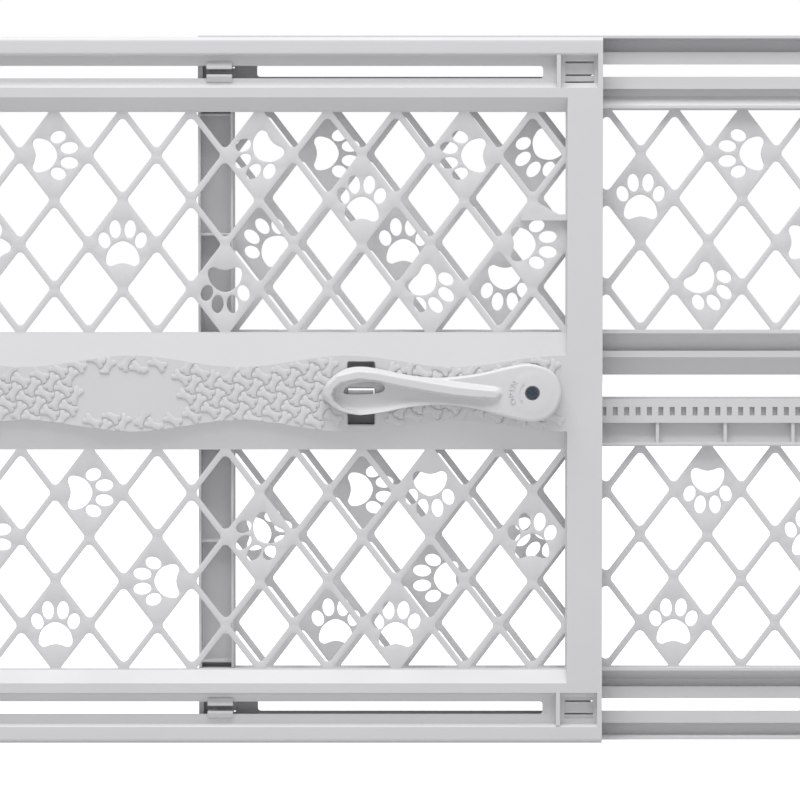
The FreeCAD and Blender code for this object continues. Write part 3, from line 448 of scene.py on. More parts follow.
def node_tree(name, inputs):
    """An empty geometry tree with a mesh in, a mesh out, and named inputs; also each input's identifier."""
    tree = bpy.data.node_groups.new(name, "GeometryNodeTree")
    tree.interface.new_socket("Geometry", in_out="INPUT", socket_type="NodeSocketGeometry")
    keys = {}
    for label, kind in inputs:
        socket = tree.interface.new_socket(label, in_out="INPUT", socket_type="NodeSocket" + kind)
        keys[label] = socket.identifier
    tree.interface.new_socket("Geometry", in_out="OUTPUT", socket_type="NodeSocketGeometry")
    return tree, add(tree, "NodeGroupInput").outputs, keys


def stood_up(tree, flat, forward):
    """What is drawn flat in XY, turned to stand in XZ at a place along Y."""
    place = add(tree, "ShaderNodeCombineXYZ", {"Y": forward})
    return add(tree, "GeometryNodeTransform", {"Geometry": flat, "Rotation": (math.radians(90), 0, 0),
                                               "Translation": place})


def tree_end(tree, geometry, finish):
    """How every tree here ends: instances made real, the finish set, and the result handed out."""
    real = add(tree, "GeometryNodeRealizeInstances", {"Geometry": geometry})
    done = add(tree, "GeometryNodeSetMaterial", {"Geometry": real, "Material": finish})
    add(tree, "NodeGroupOutput", {"Geometry": done})


lattice_tree, given, lattice_keys = node_tree("diamond_lattice", [
    ("Cell Width", "Float"), ("Cell Height", "Float"), ("Face Scale", "Float"), ("Corner Radius", "Float"),
    ("Left", "Float"), ("Right", "Float"), ("Bottom", "Float"), ("Top", "Float"), ("Border", "Float"),
    ("Thickness", "Float"), ("Front", "Float"), ("Paw", "Object"), ("Wall", "Object"), ("Edge", "Object"),
    ("Finish", "Material")])
t = lattice_tree
is_paw = add(t, "GeometryNodeInputNamedAttribute", {"Name": "paw"}, data_type="BOOLEAN")
heading = add(t, "GeometryNodeInputNamedAttribute", {"Name": "heading"}, data_type="FLOAT")
lowest = add(t, "GeometryNodeInputNamedAttribute", {"Name": "lowest"}, data_type="FLOAT")
parted = add(t, "GeometryNodeSeparateGeometry", {"Geometry": given["Geometry"], "Selection": is_paw},
             domain="POINT")
# The open cells: a kite with equal halves, its corners rounded.
wide = add(t, "ShaderNodeMath", {0: given["Cell Width"], 1: given["Face Scale"]}, operation="MULTIPLY")
tall = add(t, "ShaderNodeMath", {0: given["Cell Height"], 1: given["Face Scale"]}, operation="MULTIPLY")
half = add(t, "ShaderNodeMath", {0: tall, 1: 2.0}, operation="DIVIDE")
kite = add(t, "GeometryNodeCurvePrimitiveQuadrilateral",
           {"Width": wide, "Bottom Height": half, "Top Height": half}, mode="KITE")
kite = add(t, "GeometryNodeFilletCurve", {"Curve": kite, "Count": 5, "Radius": given["Corner Radius"],
                                          "Limit Radius": True}, mode="POLY")
cells = add(t, "GeometryNodeInstanceOnPoints", {"Points": parted.outputs["Inverted"], "Instance": kite})
# The paws: the same outline on every filled cell, turned to its heading.
paw = add(t, "GeometryNodeObjectInfo", {"Object": given["Paw"]}, transform_space="ORIGINAL")
turn = add(t, "ShaderNodeCombineXYZ", {"Z": heading})
paws = add(t, "GeometryNodeInstanceOnPoints", {
    "Points": parted.outputs["Selection"], "Instance": paw.outputs["Geometry"], "Rotation": turn})
holes = add(t, "GeometryNodeJoinGeometry", {0: cells})
t.links.new(paws.outputs[0], holes.inputs[0])
holes = add(t, "GeometryNodeRealizeInstances", {"Geometry": holes})
# What crosses the border is held just inside it, so a cut diamond ends in a straight side.
where = add(t, "ShaderNodeSeparateXYZ", {0: add(t, "GeometryNodeInputPosition")})
held = {}
for axis, low, high in (("X", "Left", "Right"), ("Y", "Bottom", "Top")):
    least = add(t, "ShaderNodeMath", {0: given[low], 1: given["Border"]}, operation="ADD")
    most = add(t, "ShaderNodeMath", {0: given[high], 1: given["Border"]}, operation="SUBTRACT")
    held[axis] = add(t, "ShaderNodeClamp", {"Value": where.outputs[axis], "Min": least, "Max": most})
above = add(t, "ShaderNodeMath", {0: held["Y"], 1: lowest}, operation="MAXIMUM")
kept = add(t, "ShaderNodeCombineXYZ", {"X": held["X"], "Y": above})
holes = add(t, "GeometryNodeSetPosition", {"Geometry": holes, "Position": kept})
# The plate's own outline, and the plate between all outlines, once at the front and once at the back.
spans = {}
for low, high in (("Left", "Right"), ("Bottom", "Top")):
    both_ends = add(t, "ShaderNodeMath", {0: given[low], 1: given[high]}, operation="ADD")
    spans[low] = add(t, "ShaderNodeMath", {0: both_ends, 1: 2.0}, operation="DIVIDE")
    spans[high] = add(t, "ShaderNodeMath", {0: given[high], 1: given[low]}, operation="SUBTRACT")
border = add(t, "GeometryNodeCurvePrimitiveQuadrilateral", {"Width": spans["Right"], "Height": spans["Top"]},
             mode="RECTANGLE")
centre = add(t, "ShaderNodeCombineXYZ", {"X": spans["Left"], "Y": spans["Bottom"]})
border = add(t, "GeometryNodeTransform", {"Geometry": border, "Translation": centre})
outlines = add(t, "GeometryNodeJoinGeometry", {0: border})
t.links.new(holes.outputs[0], outlines.inputs[0])
plate = add(t, "GeometryNodeFillCurve", {"Curve": outlines}, mode="TRIANGLES")
behind = add(t, "ShaderNodeCombineXYZ", {"Z": given["Thickness"]})
back = add(t, "GeometryNodeTransform", {"Geometry": plate, "Translation": behind})
whole = add(t, "GeometryNodeJoinGeometry", {0: plate})
t.links.new(back.outputs[0], whole.inputs[0])
# The walls: a half-round strip swept round each hole, and a plain one round the border.
for curve, profile in ((holes, "Wall"), (border, "Edge")):
    upright = add(t, "GeometryNodeSetCurveNormal", {"Curve": curve}, mode="Z_UP")
    strip = add(t, "GeometryNodeObjectInfo", {"Object": given[profile]}, transform_space="ORIGINAL")
    swept = add(t, "GeometryNodeCurveToMesh", {"Curve": upright, "Profile Curve": strip.outputs["Geometry"]})
    t.links.new(swept.outputs[0], whole.inputs[0])
whole = add(t, "GeometryNodeMergeByDistance", {"Geometry": whole, "Distance": 0.004 * MM})
tree_end(t, stood_up(t, whole, given["Front"]), given["Finish"])
print("lattice tree:", len(t.nodes), "nodes")

# %% Lattices
COLUMNS = 9
HALF_ROWS = 5
STRAND = 5.0
HOLE_CORNER = 4.0
HELD_IN = 0.6  # how far inside the frame a cut diamond ends
# The cut diamond beside the inner post's stub is filled up to the stub.
LEDGE = 436.0
LEDGE_CELL = ("front", "upper", (18, 2))
UPPER_PAWS = [(3, 1, -90), (1, 3, 45), (5, 3, 0), (8, 4, 180), (9, 1, 135), (12, 2, 0), (14, 4, -135),
              (15, 1, 90), (17, 3, -90)]
LOWER_PAWS = [(1, 2, -90), (3, 4, 0), (4, 1, -90), (6, 3, 90), (9, 2, 135), (13, 4, 0), (14, 1, 180),
              (17, 2, 0)]


def point_mesh(name, places, **fields):
    """Loose points in the XY plane with named values on them, for a tree to work on."""
    mesh = bpy.data.meshes.new(name)
    mesh.from_pydata([(x, y, 0) for x, y in places], [], [])
    for field, values in fields.items():
        kind = "BOOLEAN" if isinstance(values[0], bool) else "FLOAT"
        mesh.attributes.new(field, kind, "POINT").data.foreach_set("value", values)
    return placed(name, mesh)


def applied(piece):
    """What an object's modifiers or letters make, as a plain mesh; the object is removed."""
    graph = bpy.context.evaluated_depsgraph_get()
    mesh = bpy.data.meshes.new_from_object(piece.evaluated_get(graph), depsgraph=graph)
    bpy.data.objects.remove(piece)
    return mesh


def creased(mesh, degrees):
    """Smooth shading, broken where faces turn by more than an angle."""
    mesh.shade_smooth()
    mesh.set_sharp_from_angle(angle=math.radians(degrees))


def worked_out(source, tree, keys, values):
    """Runs a tree on an object with these inputs and gives its result as one plain closed mesh."""
    modifier = source.modifiers.new("tree", "NODES")
    modifier.node_group = tree
    for label, value in values.items():
        modifier[keys[label]] = value
    mesh = applied(source)
    shape = bmesh.new()
    shape.from_mesh(mesh)
    bmesh.ops.dissolve_degenerate(shape, dist=0.001 * MM, edges=shape.edges)
    bmesh.ops.recalc_face_normals(shape, faces=shape.faces)
    shape.to_mesh(mesh)
    open_edges = sum(not e.is_manifold for e in shape.edges)
    shape.free()
    return mesh, open_edges


def lattice(side, which):
    """One lattice: its points with their paws and headings, run through the tree."""
    node = f"{side}_{which}_mesh"
    low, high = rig.box(node)
    half_wide = (high.x - low.x) / COLUMNS / 2
    half_tall = (high.z - low.z) / HALF_ROWS
    paws = {(c, r): turn for c, r, turn in (UPPER_PAWS if which == "upper" else LOWER_PAWS)}
    odd = 0 if which == "upper" else 1
    cells = [(c, r) for c in range(2 * COLUMNS + 1) for r in range(HALF_ROWS + 1) if (c + r) % 2 == odd]
    source = point_mesh(node + "_cells", [(low.x + c * half_wide, high.z - r * half_tall) for c, r in cells],
                        paw=[cell in paws for cell in cells],
                        heading=[math.radians(paws.get(cell, 0)) for cell in cells],
                        lowest=[LEDGE * MM if (side, which, cell) == LEDGE_CELL else 0.0 for cell in cells])
    reach = half_wide * half_tall / math.hypot(half_wide, half_tall)
    mesh, open_edges = worked_out(source, lattice_tree, lattice_keys, {
        "Cell Width": 2 * half_wide, "Cell Height": 2 * half_tall,
        "Face Scale": (reach - (STRAND / 2 - SOFT) * MM) / reach, "Corner Radius": (HOLE_CORNER + SOFT) * MM,
        "Left": low.x, "Right": high.x, "Bottom": low.z, "Top": high.z, "Border": HELD_IN * MM,
        "Thickness": high.y - low.y, "Front": high.y,
        "Paw": paw_curve, "Wall": wall_curve, "Edge": edge_curve,
        "Finish": FINISH["panel_plastic"]})
    creased(mesh, 40)
    piece = link(node + "_strands", mesh, "panel_plastic", BODY_OF[node])
    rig.replaces(piece, node)
    print(node, len(cells), "cells,", len(mesh.polygons), "faces,", open_edges, "open edges")


for side in ("front", "rear"):
    for which in ("upper", "lower"):
        lattice(side, which)
for helper in (paw_curve, wall_curve, edge_curve):
    bpy.data.objects.remove(helper)

# %% [markdown]
# The raised band along each beam is covered with a close pattern of little bones, which gives the hand some
# grip. They stand in a square order turned by fifteen degrees, every second one crosswise, and the band's
# wavy edge cuts off whatever would stick out. One bone of a few dozen faces is enough: a tree puts it on each
# place and holds every point inside the band. A patch in the middle of the left wave is smooth.

# %% One bone
BONE_TALL = 1.1
SHAFT = (6.3, 2.7)  # half its length and width
KNOB_AT, KNOB_RADIUS = (5.3, 2.4), 2.5  # one knob in each quarter
BONE_POINTS = 28
CROWDING = 0.22  # how much closer together the points stand round the knobs


def bone_reach(turn):
    """How far a bone's outline is from its middle in one direction: a shaft with two knobs at each end."""
    way = Vector((math.cos(turn), math.sin(turn)))
    best = min(SHAFT[0] / max(abs(way.x), 1e-6), SHAFT[1] / max(abs(way.y), 1e-6))
    for x in (-KNOB_AT[0], KNOB_AT[0]):
        for y in (-KNOB_AT[1], KNOB_AT[1]):
            middle = Vector((x, y))
            along = middle.dot(way)
            inside = KNOB_RADIUS ** 2 - (middle.length_squared - along ** 2)
            if inside > 0:
                best = max(best, along + math.sqrt(inside))
    return best


def skinned(shape, rows):
    """Quads between each closed row of points and the next."""
    for a, b in zip(rows, rows[1:]):
        for n in range(len(a)):
            m = (n + 1) % len(a)
            shape.faces.new((a[n], a[m], b[m], b[n]))


def bone_mesh():
    """A low pillow with a bone's outline: a foot ring, a shoulder ring and a top."""
    turns = [2 * math.pi * n / BONE_POINTS for n in range(BONE_POINTS)]
    turns = [a - CROWDING * math.sin(2 * a) for a in turns]
    outline = [Vector((bone_reach(a) * math.cos(a), bone_reach(a) * math.sin(a))) for a in turns]
    shape = bmesh.new()
    rings = []
    for inset, rise in ((0.0, -0.25), (0.1, 0.8), (0.7, BONE_TALL)):
        rings.append([shape.verts.new((x * MM, y * MM, rise * MM)) for x, y in grown(outline, -inset)])
    skinned(shape, rings)
    shape.faces.new(rings[-1])
    shape.faces.new(list(reversed(rings[0])))
    bmesh.ops.triangulate(shape, faces=[f for f in shape.faces if len(f.verts) > 4])
    return placed("bone", as_mesh("bone", shape))


bone = bone_mesh()
print("a bone of", len(bone.data.polygons), "faces")

# %% Bone tree
bone_tree, given, bone_keys = node_tree("bone_relief", [
    ("Bone", "Object"), ("Middle", "Float"), ("Half Height", "Float"), ("Wave", "Float"), ("Period", "Float"),
    ("Crest", "Float"), ("Face", "Float"), ("Finish", "Material")])
t = bone_tree
turn, lowest, highest = (add(t, "GeometryNodeInputNamedAttribute", {"Name": name}, data_type="FLOAT")
                         for name in ("turn", "lowest", "highest"))
source = add(t, "GeometryNodeObjectInfo", {"Object": given["Bone"]}, transform_space="ORIGINAL")
spin = add(t, "ShaderNodeCombineXYZ", {"Z": turn})
laid = add(t, "GeometryNodeInstanceOnPoints", {"Points": given["Geometry"],
                                               "Instance": source.outputs["Geometry"], "Rotation": spin})
real = add(t, "GeometryNodeRealizeInstances", {"Geometry": laid})
# Half the band's height at each point: a steady part and a cosine wave along the beam.
where = add(t, "ShaderNodeSeparateXYZ", {0: add(t, "GeometryNodeInputPosition")})
along = add(t, "ShaderNodeMath", {0: where.outputs["X"], 1: given["Crest"]}, operation="SUBTRACT")
phase = add(t, "ShaderNodeMath", {0: along, 1: given["Period"]}, operation="DIVIDE")
angle = add(t, "ShaderNodeMath", {0: phase, 1: 2 * math.pi}, operation="MULTIPLY")
wave = add(t, "ShaderNodeMath", {0: angle}, operation="COSINE")
half = add(t, "ShaderNodeMath", {0: wave, 1: given["Wave"], 2: given["Half Height"]},
           operation="MULTIPLY_ADD")
under = add(t, "ShaderNodeMath", {0: given["Middle"], 1: half}, operation="SUBTRACT")
over = add(t, "ShaderNodeMath", {0: given["Middle"], 1: half}, operation="ADD")
under = add(t, "ShaderNodeMath", {0: under, 1: lowest}, operation="MAXIMUM")
over = add(t, "ShaderNodeMath", {0: over, 1: highest}, operation="MINIMUM")
held = add(t, "ShaderNodeClamp", {"Value": where.outputs["Y"], "Min": under, "Max": over})
kept = add(t, "ShaderNodeCombineXYZ", {"X": where.outputs["X"], "Y": held, "Z": where.outputs["Z"]})
moved = add(t, "GeometryNodeSetPosition", {"Geometry": real, "Position": kept})
tree_end(t, stood_up(t, moved, given["Face"]), given["Finish"])
print("bone tree:", len(t.nodes), "nodes")

# %% Bone relief
BONE_PITCH = 16.1
BONE_TURN = -30.0
GRID_TURN = math.radians(15)
BAND_HALF, BAND_WAVE, BAND_PERIOD, BAND_CREST = 26.7, 4.75, 178.0, -43.4
BAND_MIDDLE = 290.0
BAND_ENDS = 9.0  # left free at both ends of a band
SMOOTH_PATCH = (-260.4, -188.4, 275.2, 306.6)
# The rear beam's long slot, which the screw slides along, and the smooth strip round it.
REAR_SLOT = (-140.0, 375.0, 286.5, 304.9)
GRIP_RIM = 0.9  # left smooth round a finger slot
HUB_CLEAR = 6.0


def bone_places(left, right, middle, bare):
    """Where the bones stand, each with its turn and the heights that hold it, leaving out the bare boxes."""
    steps = int((right - left) / BONE_PITCH)
    a = Vector((math.cos(GRID_TURN), math.sin(GRID_TURN))) * BONE_PITCH
    b = Vector((a.y, -a.x))
    places = []
    for i in range(-steps, steps + 1):
        for j in range(-steps, steps + 1):
            for kind in (0, 1):
                spot = Vector((BAND_CREST, middle)) + a * (i + kind / 2) + b * (j + kind / 2)
                half = BAND_HALF + BAND_WAVE * math.cos(2 * math.pi * (spot.x - BAND_CREST) / BAND_PERIOD)
                if not left + BAND_ENDS < spot.x < right - BAND_ENDS or abs(spot.y - middle) > half - 1.2:
                    continue
                limits = [middle - 60, middle + 60]
                covered = False
                for x0, x1, z0, z1 in bare:
                    near = x0 - 7 < spot.x < x1 + 7
                    covered = covered or (near and z0 - 3 < spot.y < z1 + 3)
                    if near and spot.y >= z1 + 3:
                        limits[0] = max(limits[0], z1 + 0.6)
                    if near and spot.y <= z0 - 3:
                        limits[1] = min(limits[1], z0 - 0.6)
                if not covered:
                    places.append((spot.x, spot.y, math.radians(BONE_TURN + 90 * kind), *limits))
    return places


def relief(side, face, middle, bare, outward):
    """The bones on a panel's outer face, worked out facing the viewer and mirrored for the back."""
    low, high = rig.box(f"{side}_upper_mesh")
    places = bone_places(low.x / MM, high.x / MM, middle, bare)
    source = point_mesh(side + "_bones", [(x * MM, z * MM) for x, z, *_ in places],
                        turn=[p[2] for p in places], lowest=[p[3] * MM for p in places],
                        highest=[p[4] * MM for p in places])
    mesh, open_edges = worked_out(source, bone_tree, bone_keys, {
        "Bone": bone, "Middle": middle * MM, "Half Height": (BAND_HALF - 0.4) * MM, "Wave": BAND_WAVE * MM,
        "Period": BAND_PERIOD * MM, "Crest": BAND_CREST * MM, "Face": face if outward < 0 else -face,
        "Finish": FINISH["panel_plastic"]})
    if outward > 0:
        mesh.transform(Matrix.Scale(-1, 4, (0, 1, 0)))
        mesh.flip_normals()
    creased(mesh, 40)
    link(side + "_bone_relief", mesh, "panel_plastic", side + "_panel")
    print(side, len(places), "bones,", len(mesh.polygons), "faces,", open_edges, "open edges")


front_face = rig.box("front_top_rail")[0].y
rear_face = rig.box("rear_top_rail")[1].y
pivot = sum(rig.box("clamp_washer"), Vector()) / 2
PX, PZ = pivot.x / MM, pivot.z / MM
# The finger slots are the record's openings, here as left, right, bottom and top in millimetres.
slots = {}
for opening in frame["record"]["physics"]["openings"]:
    (x0, _, z0), (x1, _, z1) = opening["box_m"]
    slots[opening["name"]] = [v / MM for v in (x0, x1, z0, z1)]
rims = [(x0 - GRIP_RIM, x1 + GRIP_RIM, z0 - GRIP_RIM, z1 + GRIP_RIM) for x0, x1, z0, z1 in slots.values()]
pivot_box = (PX - HUB_CLEAR, PX + HUB_CLEAR, PZ - HUB_CLEAR, PZ + HUB_CLEAR)
relief("front", front_face, BAND_MIDDLE, rims + [SMOOTH_PATCH, pivot_box], -1)
relief("rear", rear_face, BAND_MIDDLE + 2, [REAR_SLOT], 1)
bpy.data.objects.remove(bone)

# %% [markdown]
# Two hollows behind the beams are closed on the real mouldings. Each finger slot opens into a pocket with
# four walls, which keeps the light out, and behind the rack's windows runs a slanting strip that stiffens it.
# Both are simple solids: a ring of four walls, and a wedge swept along the rack. They sit inside the exact
# solids' hollows, so nothing that fits or moves comes near them.

# %% Finger pockets and rack backing
POCKET_WALL = 1.4
POCKET_FRONT, POCKET_BACK = 3.0, 19.2  # behind the panel's front face
SMALL_RADIUS = 0.3
STRIP_SHORT = 2.6  # below the rack's top and above its foot
STRIP_FOOT, STRIP_TOP = (3.1, 4.6), (4.2, 5.6)  # its two faces, behind the rack's front


def soft_solid(name, corners, faces, body):
    """A closed solid from corner points and faces, in millimetres, with a small radius on its edges."""
    shape = bmesh.new()
    verts = [shape.verts.new((x * MM, y * MM, z * MM)) for x, y, z in corners]
    for face in faces:
        shape.faces.new([verts[n] for n in face]).smooth = True
    bmesh.ops.recalc_face_normals(shape, faces=shape.faces)
    rounded(link(name, as_mesh(name, shape), "panel_plastic", body), SMALL_RADIUS)


def pocket(x0, x1, z0, z1):
    """Four walls round a box, open at the front and the back."""
    front = front_face / MM + POCKET_FRONT
    back = front_face / MM + POCKET_BACK
    corners = []
    for y in (front, back):
        for wall in (0.0, POCKET_WALL):
            corners += [(x0 - wall, y, z0 - wall), (x1 + wall, y, z0 - wall), (x1 + wall, y, z1 + wall),
                        (x0 - wall, y, z1 + wall)]
    faces = []
    for n in range(4):
        m = (n + 1) % 4
        faces += [(n, m, 4 + m, 4 + n), (8 + n, 12 + n, 12 + m, 8 + m), (n, 8 + n, 8 + m, m),
                  (4 + n, 4 + m, 12 + m, 12 + n)]
    return corners, faces


def wedge(low, high):
    """A strip along the rack, its foot against the wall with the windows and its top leaning back."""
    foot, top = low.z / MM + STRIP_SHORT, high.z / MM - STRIP_SHORT
    section = [(STRIP_FOOT[0], foot), (STRIP_TOP[0], top), (STRIP_TOP[1], top), (STRIP_FOOT[1], foot)]
    corners = [(x, low.y / MM + y, z) for x in (low.x / MM + 1, high.x / MM - 1) for y, z in section]
    sides = [(n, n + 4, (n + 1) % 4 + 4, (n + 1) % 4) for n in range(4)]
    return corners, [(0, 1, 2, 3), (7, 6, 5, 4)] + sides


for name, slot in slots.items():
    soft_solid(name.replace("grip_slot", "finger_pocket"), *pocket(*slot), "front_panel")
soft_solid("rack_backing", *wedge(*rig.box("rear_rack")), "rear_panel")
print("two finger pockets and a rack backing")

# %% [markdown]
# The lever is what the hand and the eye go to, and it is a free shape: a rounded ridge climbs out of the flat
# hub, leans over to the upper edge and runs round the head as a rim. Under it lies a scoop, deepest in the
# head, where a window opens. Such a shape could be sculpted, or built from patches. Here it is a height rule
# over the lever's outline: rings follow the outline inwards to a spine, so that the rounded edge stays clean,
# and each point is lifted by the ridge, the scoop, the hub and the edge. The window and the screw's recess
# are then cut through, and a catch and a boss stand at the back.

# %% Lever outline and ridge
LEVER_TALL = 15.5  # from the lever's back plane to its crest
SCREW_HEAD_TALL = 1.9
LEVER = [(-172.8, 1.0), (-160.5, 16.5), (-139.5, 21.8), (-99.5, 14.6), (-74.6, 12.8), (-43.5, 16.2),
         (-19.0, 22.0), (-1.0, 24.2), (17.2, 17.2), (24.2, 1.0), (17.4, -16.4), (0.4, -23.6),
         (-26.0, -18.6), (-50.5, -12.2), (-76.0, -9.6), (-102.5, -11.9), (-125.0, -16.2), (-145.5, -17.8),
         (-163.0, -12.0)]
# The ridge's middle line with its half width and its height, from under the head to its end at the hub.
RIDGE = [(-146.0, -16.3, 1.2, 8.6), (-157.0, -13.2, 1.9, 10.4), (-164.2, -8.2, 2.9, 12.6),
         (-167.6, -1.5, 3.9, 14.6), (-166.2, 5.5, 4.6, 15.3), (-159.0, 12.0, 5.0, 15.5),
         (-143.0, 15.6, 5.4, 15.5), (-128.0, 14.2, 5.4, 15.5), (-114.0, 11.2, 5.5, 15.5),
         (-100.0, 8.6, 5.7, 15.5), (-81.8, 5.4, 6.0, 15.5), (-64.0, 2.6, 5.8, 15.4),
         (-46.0, 0.8, 5.4, 15.4), (-30.5, -0.4, 4.8, 15.3)]
SPINE = [(-150.0, 1.5), (-124.0, 1.2), (-99.5, 1.2), (-74.6, 1.6), (-45.0, 1.2), (-20.0, 0.6), (0.0, 0.0)]
WINDOW = [(-155.4, 1.0), (-153.4, 4.4), (-147.5, 7.4), (-139.0, 8.8), (-129.5, 8.9), (-123.6, 7.4),
          (-121.3, 4.4), (-123.0, 1.4), (-129.0, -0.4), (-139.0, -1.0), (-149.0, -1.1), (-154.0, -0.6)]


def eased(low, high, value):
    """Zero below low, one above high, and a soft step between them."""
    t = min(max((value - low) / (high - low), 0.0), 1.0)
    return t * t * (3 - 2 * t)


def mixed(a, b, share):
    """The value a share of the way from a to b."""
    return a + (b - a) * share


def nearest(point, line):
    """The nearest place on a line of tuples: its distance, its values there, and the side it is seen from."""
    best = None
    for a, b in zip(line, line[1:]):
        start, way = Vector(a[:2]), Vector(b[:2]) - Vector(a[:2])
        share = min(max((point - start).dot(way) / way.length_squared, 0.0), 1.0)
        gap = point - start - way * share
        if best is None or gap.length < best[0]:
            values = [mixed(u, v, share) for u, v in zip(a, b)]
            best = gap.length, values, way.x * gap.y - way.y * gap.x
    return best


def lever_height(x, z, inset):
    """The lever's surface above its back plane, at a place relative to the pivot, inset from the outline."""
    away, (_, _, half_wide, crest), side = nearest(Vector((x, z)), RIDGE)
    hub = eased(-50, -22, x)
    out = math.hypot(x, z)
    hub_top = 14.0 - 0.9 * (out / 24) ** 2 + 0.4 * (1 - eased(14.0, 20.0, out))
    upper = mixed(mixed(11.0, 10.0, eased(-95, -60, x)), hub_top, hub)
    floor = mixed(3.6, 8.0, eased(-150, -60, x))
    rim = mixed(8.8, 10.6, eased(-140, -50, x))
    scoop = mixed(floor, rim, max(1 - inset / mixed(9.0, 12.0, eased(-140, -60, x)), 0.0) ** 2)
    lower = mixed(scoop, hub_top, hub)
    base = upper if side > 0 else lower
    bump = 1 - (eased(0.35, 1.3, away / half_wide) if side > 0 else eased(0.6, 1.05, away / half_wide))
    return mixed(base, max(crest, base), bump)


print("lever:", len(LEVER), "points round,", len(RIDGE), "along the ridge")

# %% Lever shell
RINGS = [0.0, 0.15, 0.45, 0.9, 1.5, 2.2, 3.0]
DEPTH_STEPS = 22
ALONG = 130  # places along each side


def evenly(points, count):
    """Points along a line at equal steps of its length, both ends kept."""
    lengths = [0.0]
    for a, b in zip(points, points[1:]):
        lengths.append(lengths[-1] + (b - a).length)
    out, k = [], 0
    for n in range(count):
        wanted = lengths[-1] * n / (count - 1)
        while k < len(points) - 2 and lengths[k + 1] < wanted:
            k += 1
        share = (wanted - lengths[k]) / (lengths[k + 1] - lengths[k])
        out.append(points[k].lerp(points[k + 1], min(share, 1.0)))
    return out


def lever_shell():
    """The lever's closed shell in the XZ plane about the pivot, millimetres, its back at height 0."""
    outline = [Vector(p) for p in smooth_loop(LEVER, 13)]
    tip = min(range(len(outline)), key=lambda n: outline[n].x)
    outline = outline[tip:] + outline[:tip]
    hub = max(range(len(outline)), key=lambda n: outline[n].x)
    upper = evenly(outline[:hub + 1], ALONG)
    lower = evenly(outline[hub:] + outline[:1], ALONG)
    outline = upper + lower[1:-1]
    targets = []
    for a, b in zip(upper, reversed(lower)):
        x = min(max((a.x + b.x) / 2, SPINE[0][0]), SPINE[-1][0])
        for (x0, z0), (x1, z1) in zip(SPINE, SPINE[1:]):
            if x0 <= x <= x1:
                targets.append(Vector((x, mixed(z0, z1, (x - x0) / (x1 - x0)))))
                break
    targets += targets[-2:0:-1]
    spans = [(t - p).length for p, t in zip(outline, targets)]
    shape = bmesh.new()
    rings = []
    back = [shape.verts.new((p.x, p.y, 0.0)) for p in outline]
    for k in range(len(RINGS) + DEPTH_STEPS):
        ring = []
        for p, t, span in zip(outline, targets, spans):
            inset = RINGS[k] if k < len(RINGS) else mixed(RINGS[-1], span, (k - len(RINGS) + 1) / DEPTH_STEPS)
            at = p + (t - p) * (inset / span)
            soft = mixed(2.6, 1.2, eased(2, -6, p.y) * eased(-40, -60, p.x))
            drop = soft - math.sqrt(max(soft ** 2 - max(soft - inset, 0.0) ** 2, 0.0))
            ring.append(shape.verts.new((at.x, at.y, lever_height(at.x, at.y, inset) - drop)))
        rings.append(ring)
    skinned(shape, [back] + rings)
    shape.faces.new(back)
    bmesh.ops.remove_doubles(shape, verts=rings[-1], dist=0.01)
    bmesh.ops.dissolve_degenerate(shape, dist=0.001, edges=shape.edges)
    bmesh.ops.recalc_face_normals(shape, faces=shape.faces)
    return shape


print("lever shell:", len(RINGS) + DEPTH_STEPS, "rings of", 2 * ALONG - 2, "points")

# %% Lever body
RECESS_RADIUS, RECESS_FLARE = 5.3, 1.6
BORE_RADIUS = 2.05
BOSS_RADIUS, BOSS_SUNK = 6.0, 3.0
THROUGH = 20.0  # past either face of the lever
# The catch behind the window's lower edge: its two ends along the lever, and its outline, each point given
# by its place across the lever and its height over the back plane.
CATCH_ENDS = (-151.6, -130.6)
CATCH_SIDE = [(-13.0, -1.1), (-13.0, 0.5), (-1.8, 0.5), (-1.6, -0.7), (1.6, 0.8), (2.4, 0.8), (2.4, -1.1)]


def closed(rows):
    """A closed solid over rows of points, its first and last row filled."""
    shape = bmesh.new()
    rings = [[shape.verts.new(point) for point in row] for row in rows]
    skinned(shape, rings)
    shape.faces.new(rings[0])
    shape.faces.new(rings[-1])
    bmesh.ops.recalc_face_normals(shape, faces=shape.faces)
    return shape


def prism(points, low, high, flare=1.0):
    """A closed prism over an outline in the XZ plane, millimetres, its upper end wider by a factor."""
    return closed([[(x * wider, z * wider, level) for x, z in points]
                   for level, wider in ((low, 1.0), (high, flare))])


def ring_of(radius, count=40):
    """Points on a circle about the pivot."""
    return [(radius * math.cos(2 * math.pi * n / count), radius * math.sin(2 * math.pi * n / count))
            for n in range(count)]


def as_object(name, shape):
    """A bmesh of millimetres about the pivot, height towards the viewer, as an object in the frame."""
    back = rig.box("lever")[0].y + LEVER_TALL * MM
    mesh = as_mesh(name, shape)
    mesh.transform(Matrix(((MM, 0, 0, PX * MM), (0, 0, -MM, back), (0, MM, 0, PZ * MM), (0, 0, 0, 1))))
    return placed(name, mesh)


def cut_by(target, cutters, operation="DIFFERENCE"):
    """Target with the cutters taken away, or joined on, as a plain mesh; the helpers are removed."""
    for cutter in cutters:
        step = target.modifiers.new("cut", "BOOLEAN")
        step.operation = operation
        step.object = cutter
        step.solver = "EXACT"
    mesh = applied(target)
    for cutter in cutters:
        bpy.data.objects.remove(cutter)
    return mesh


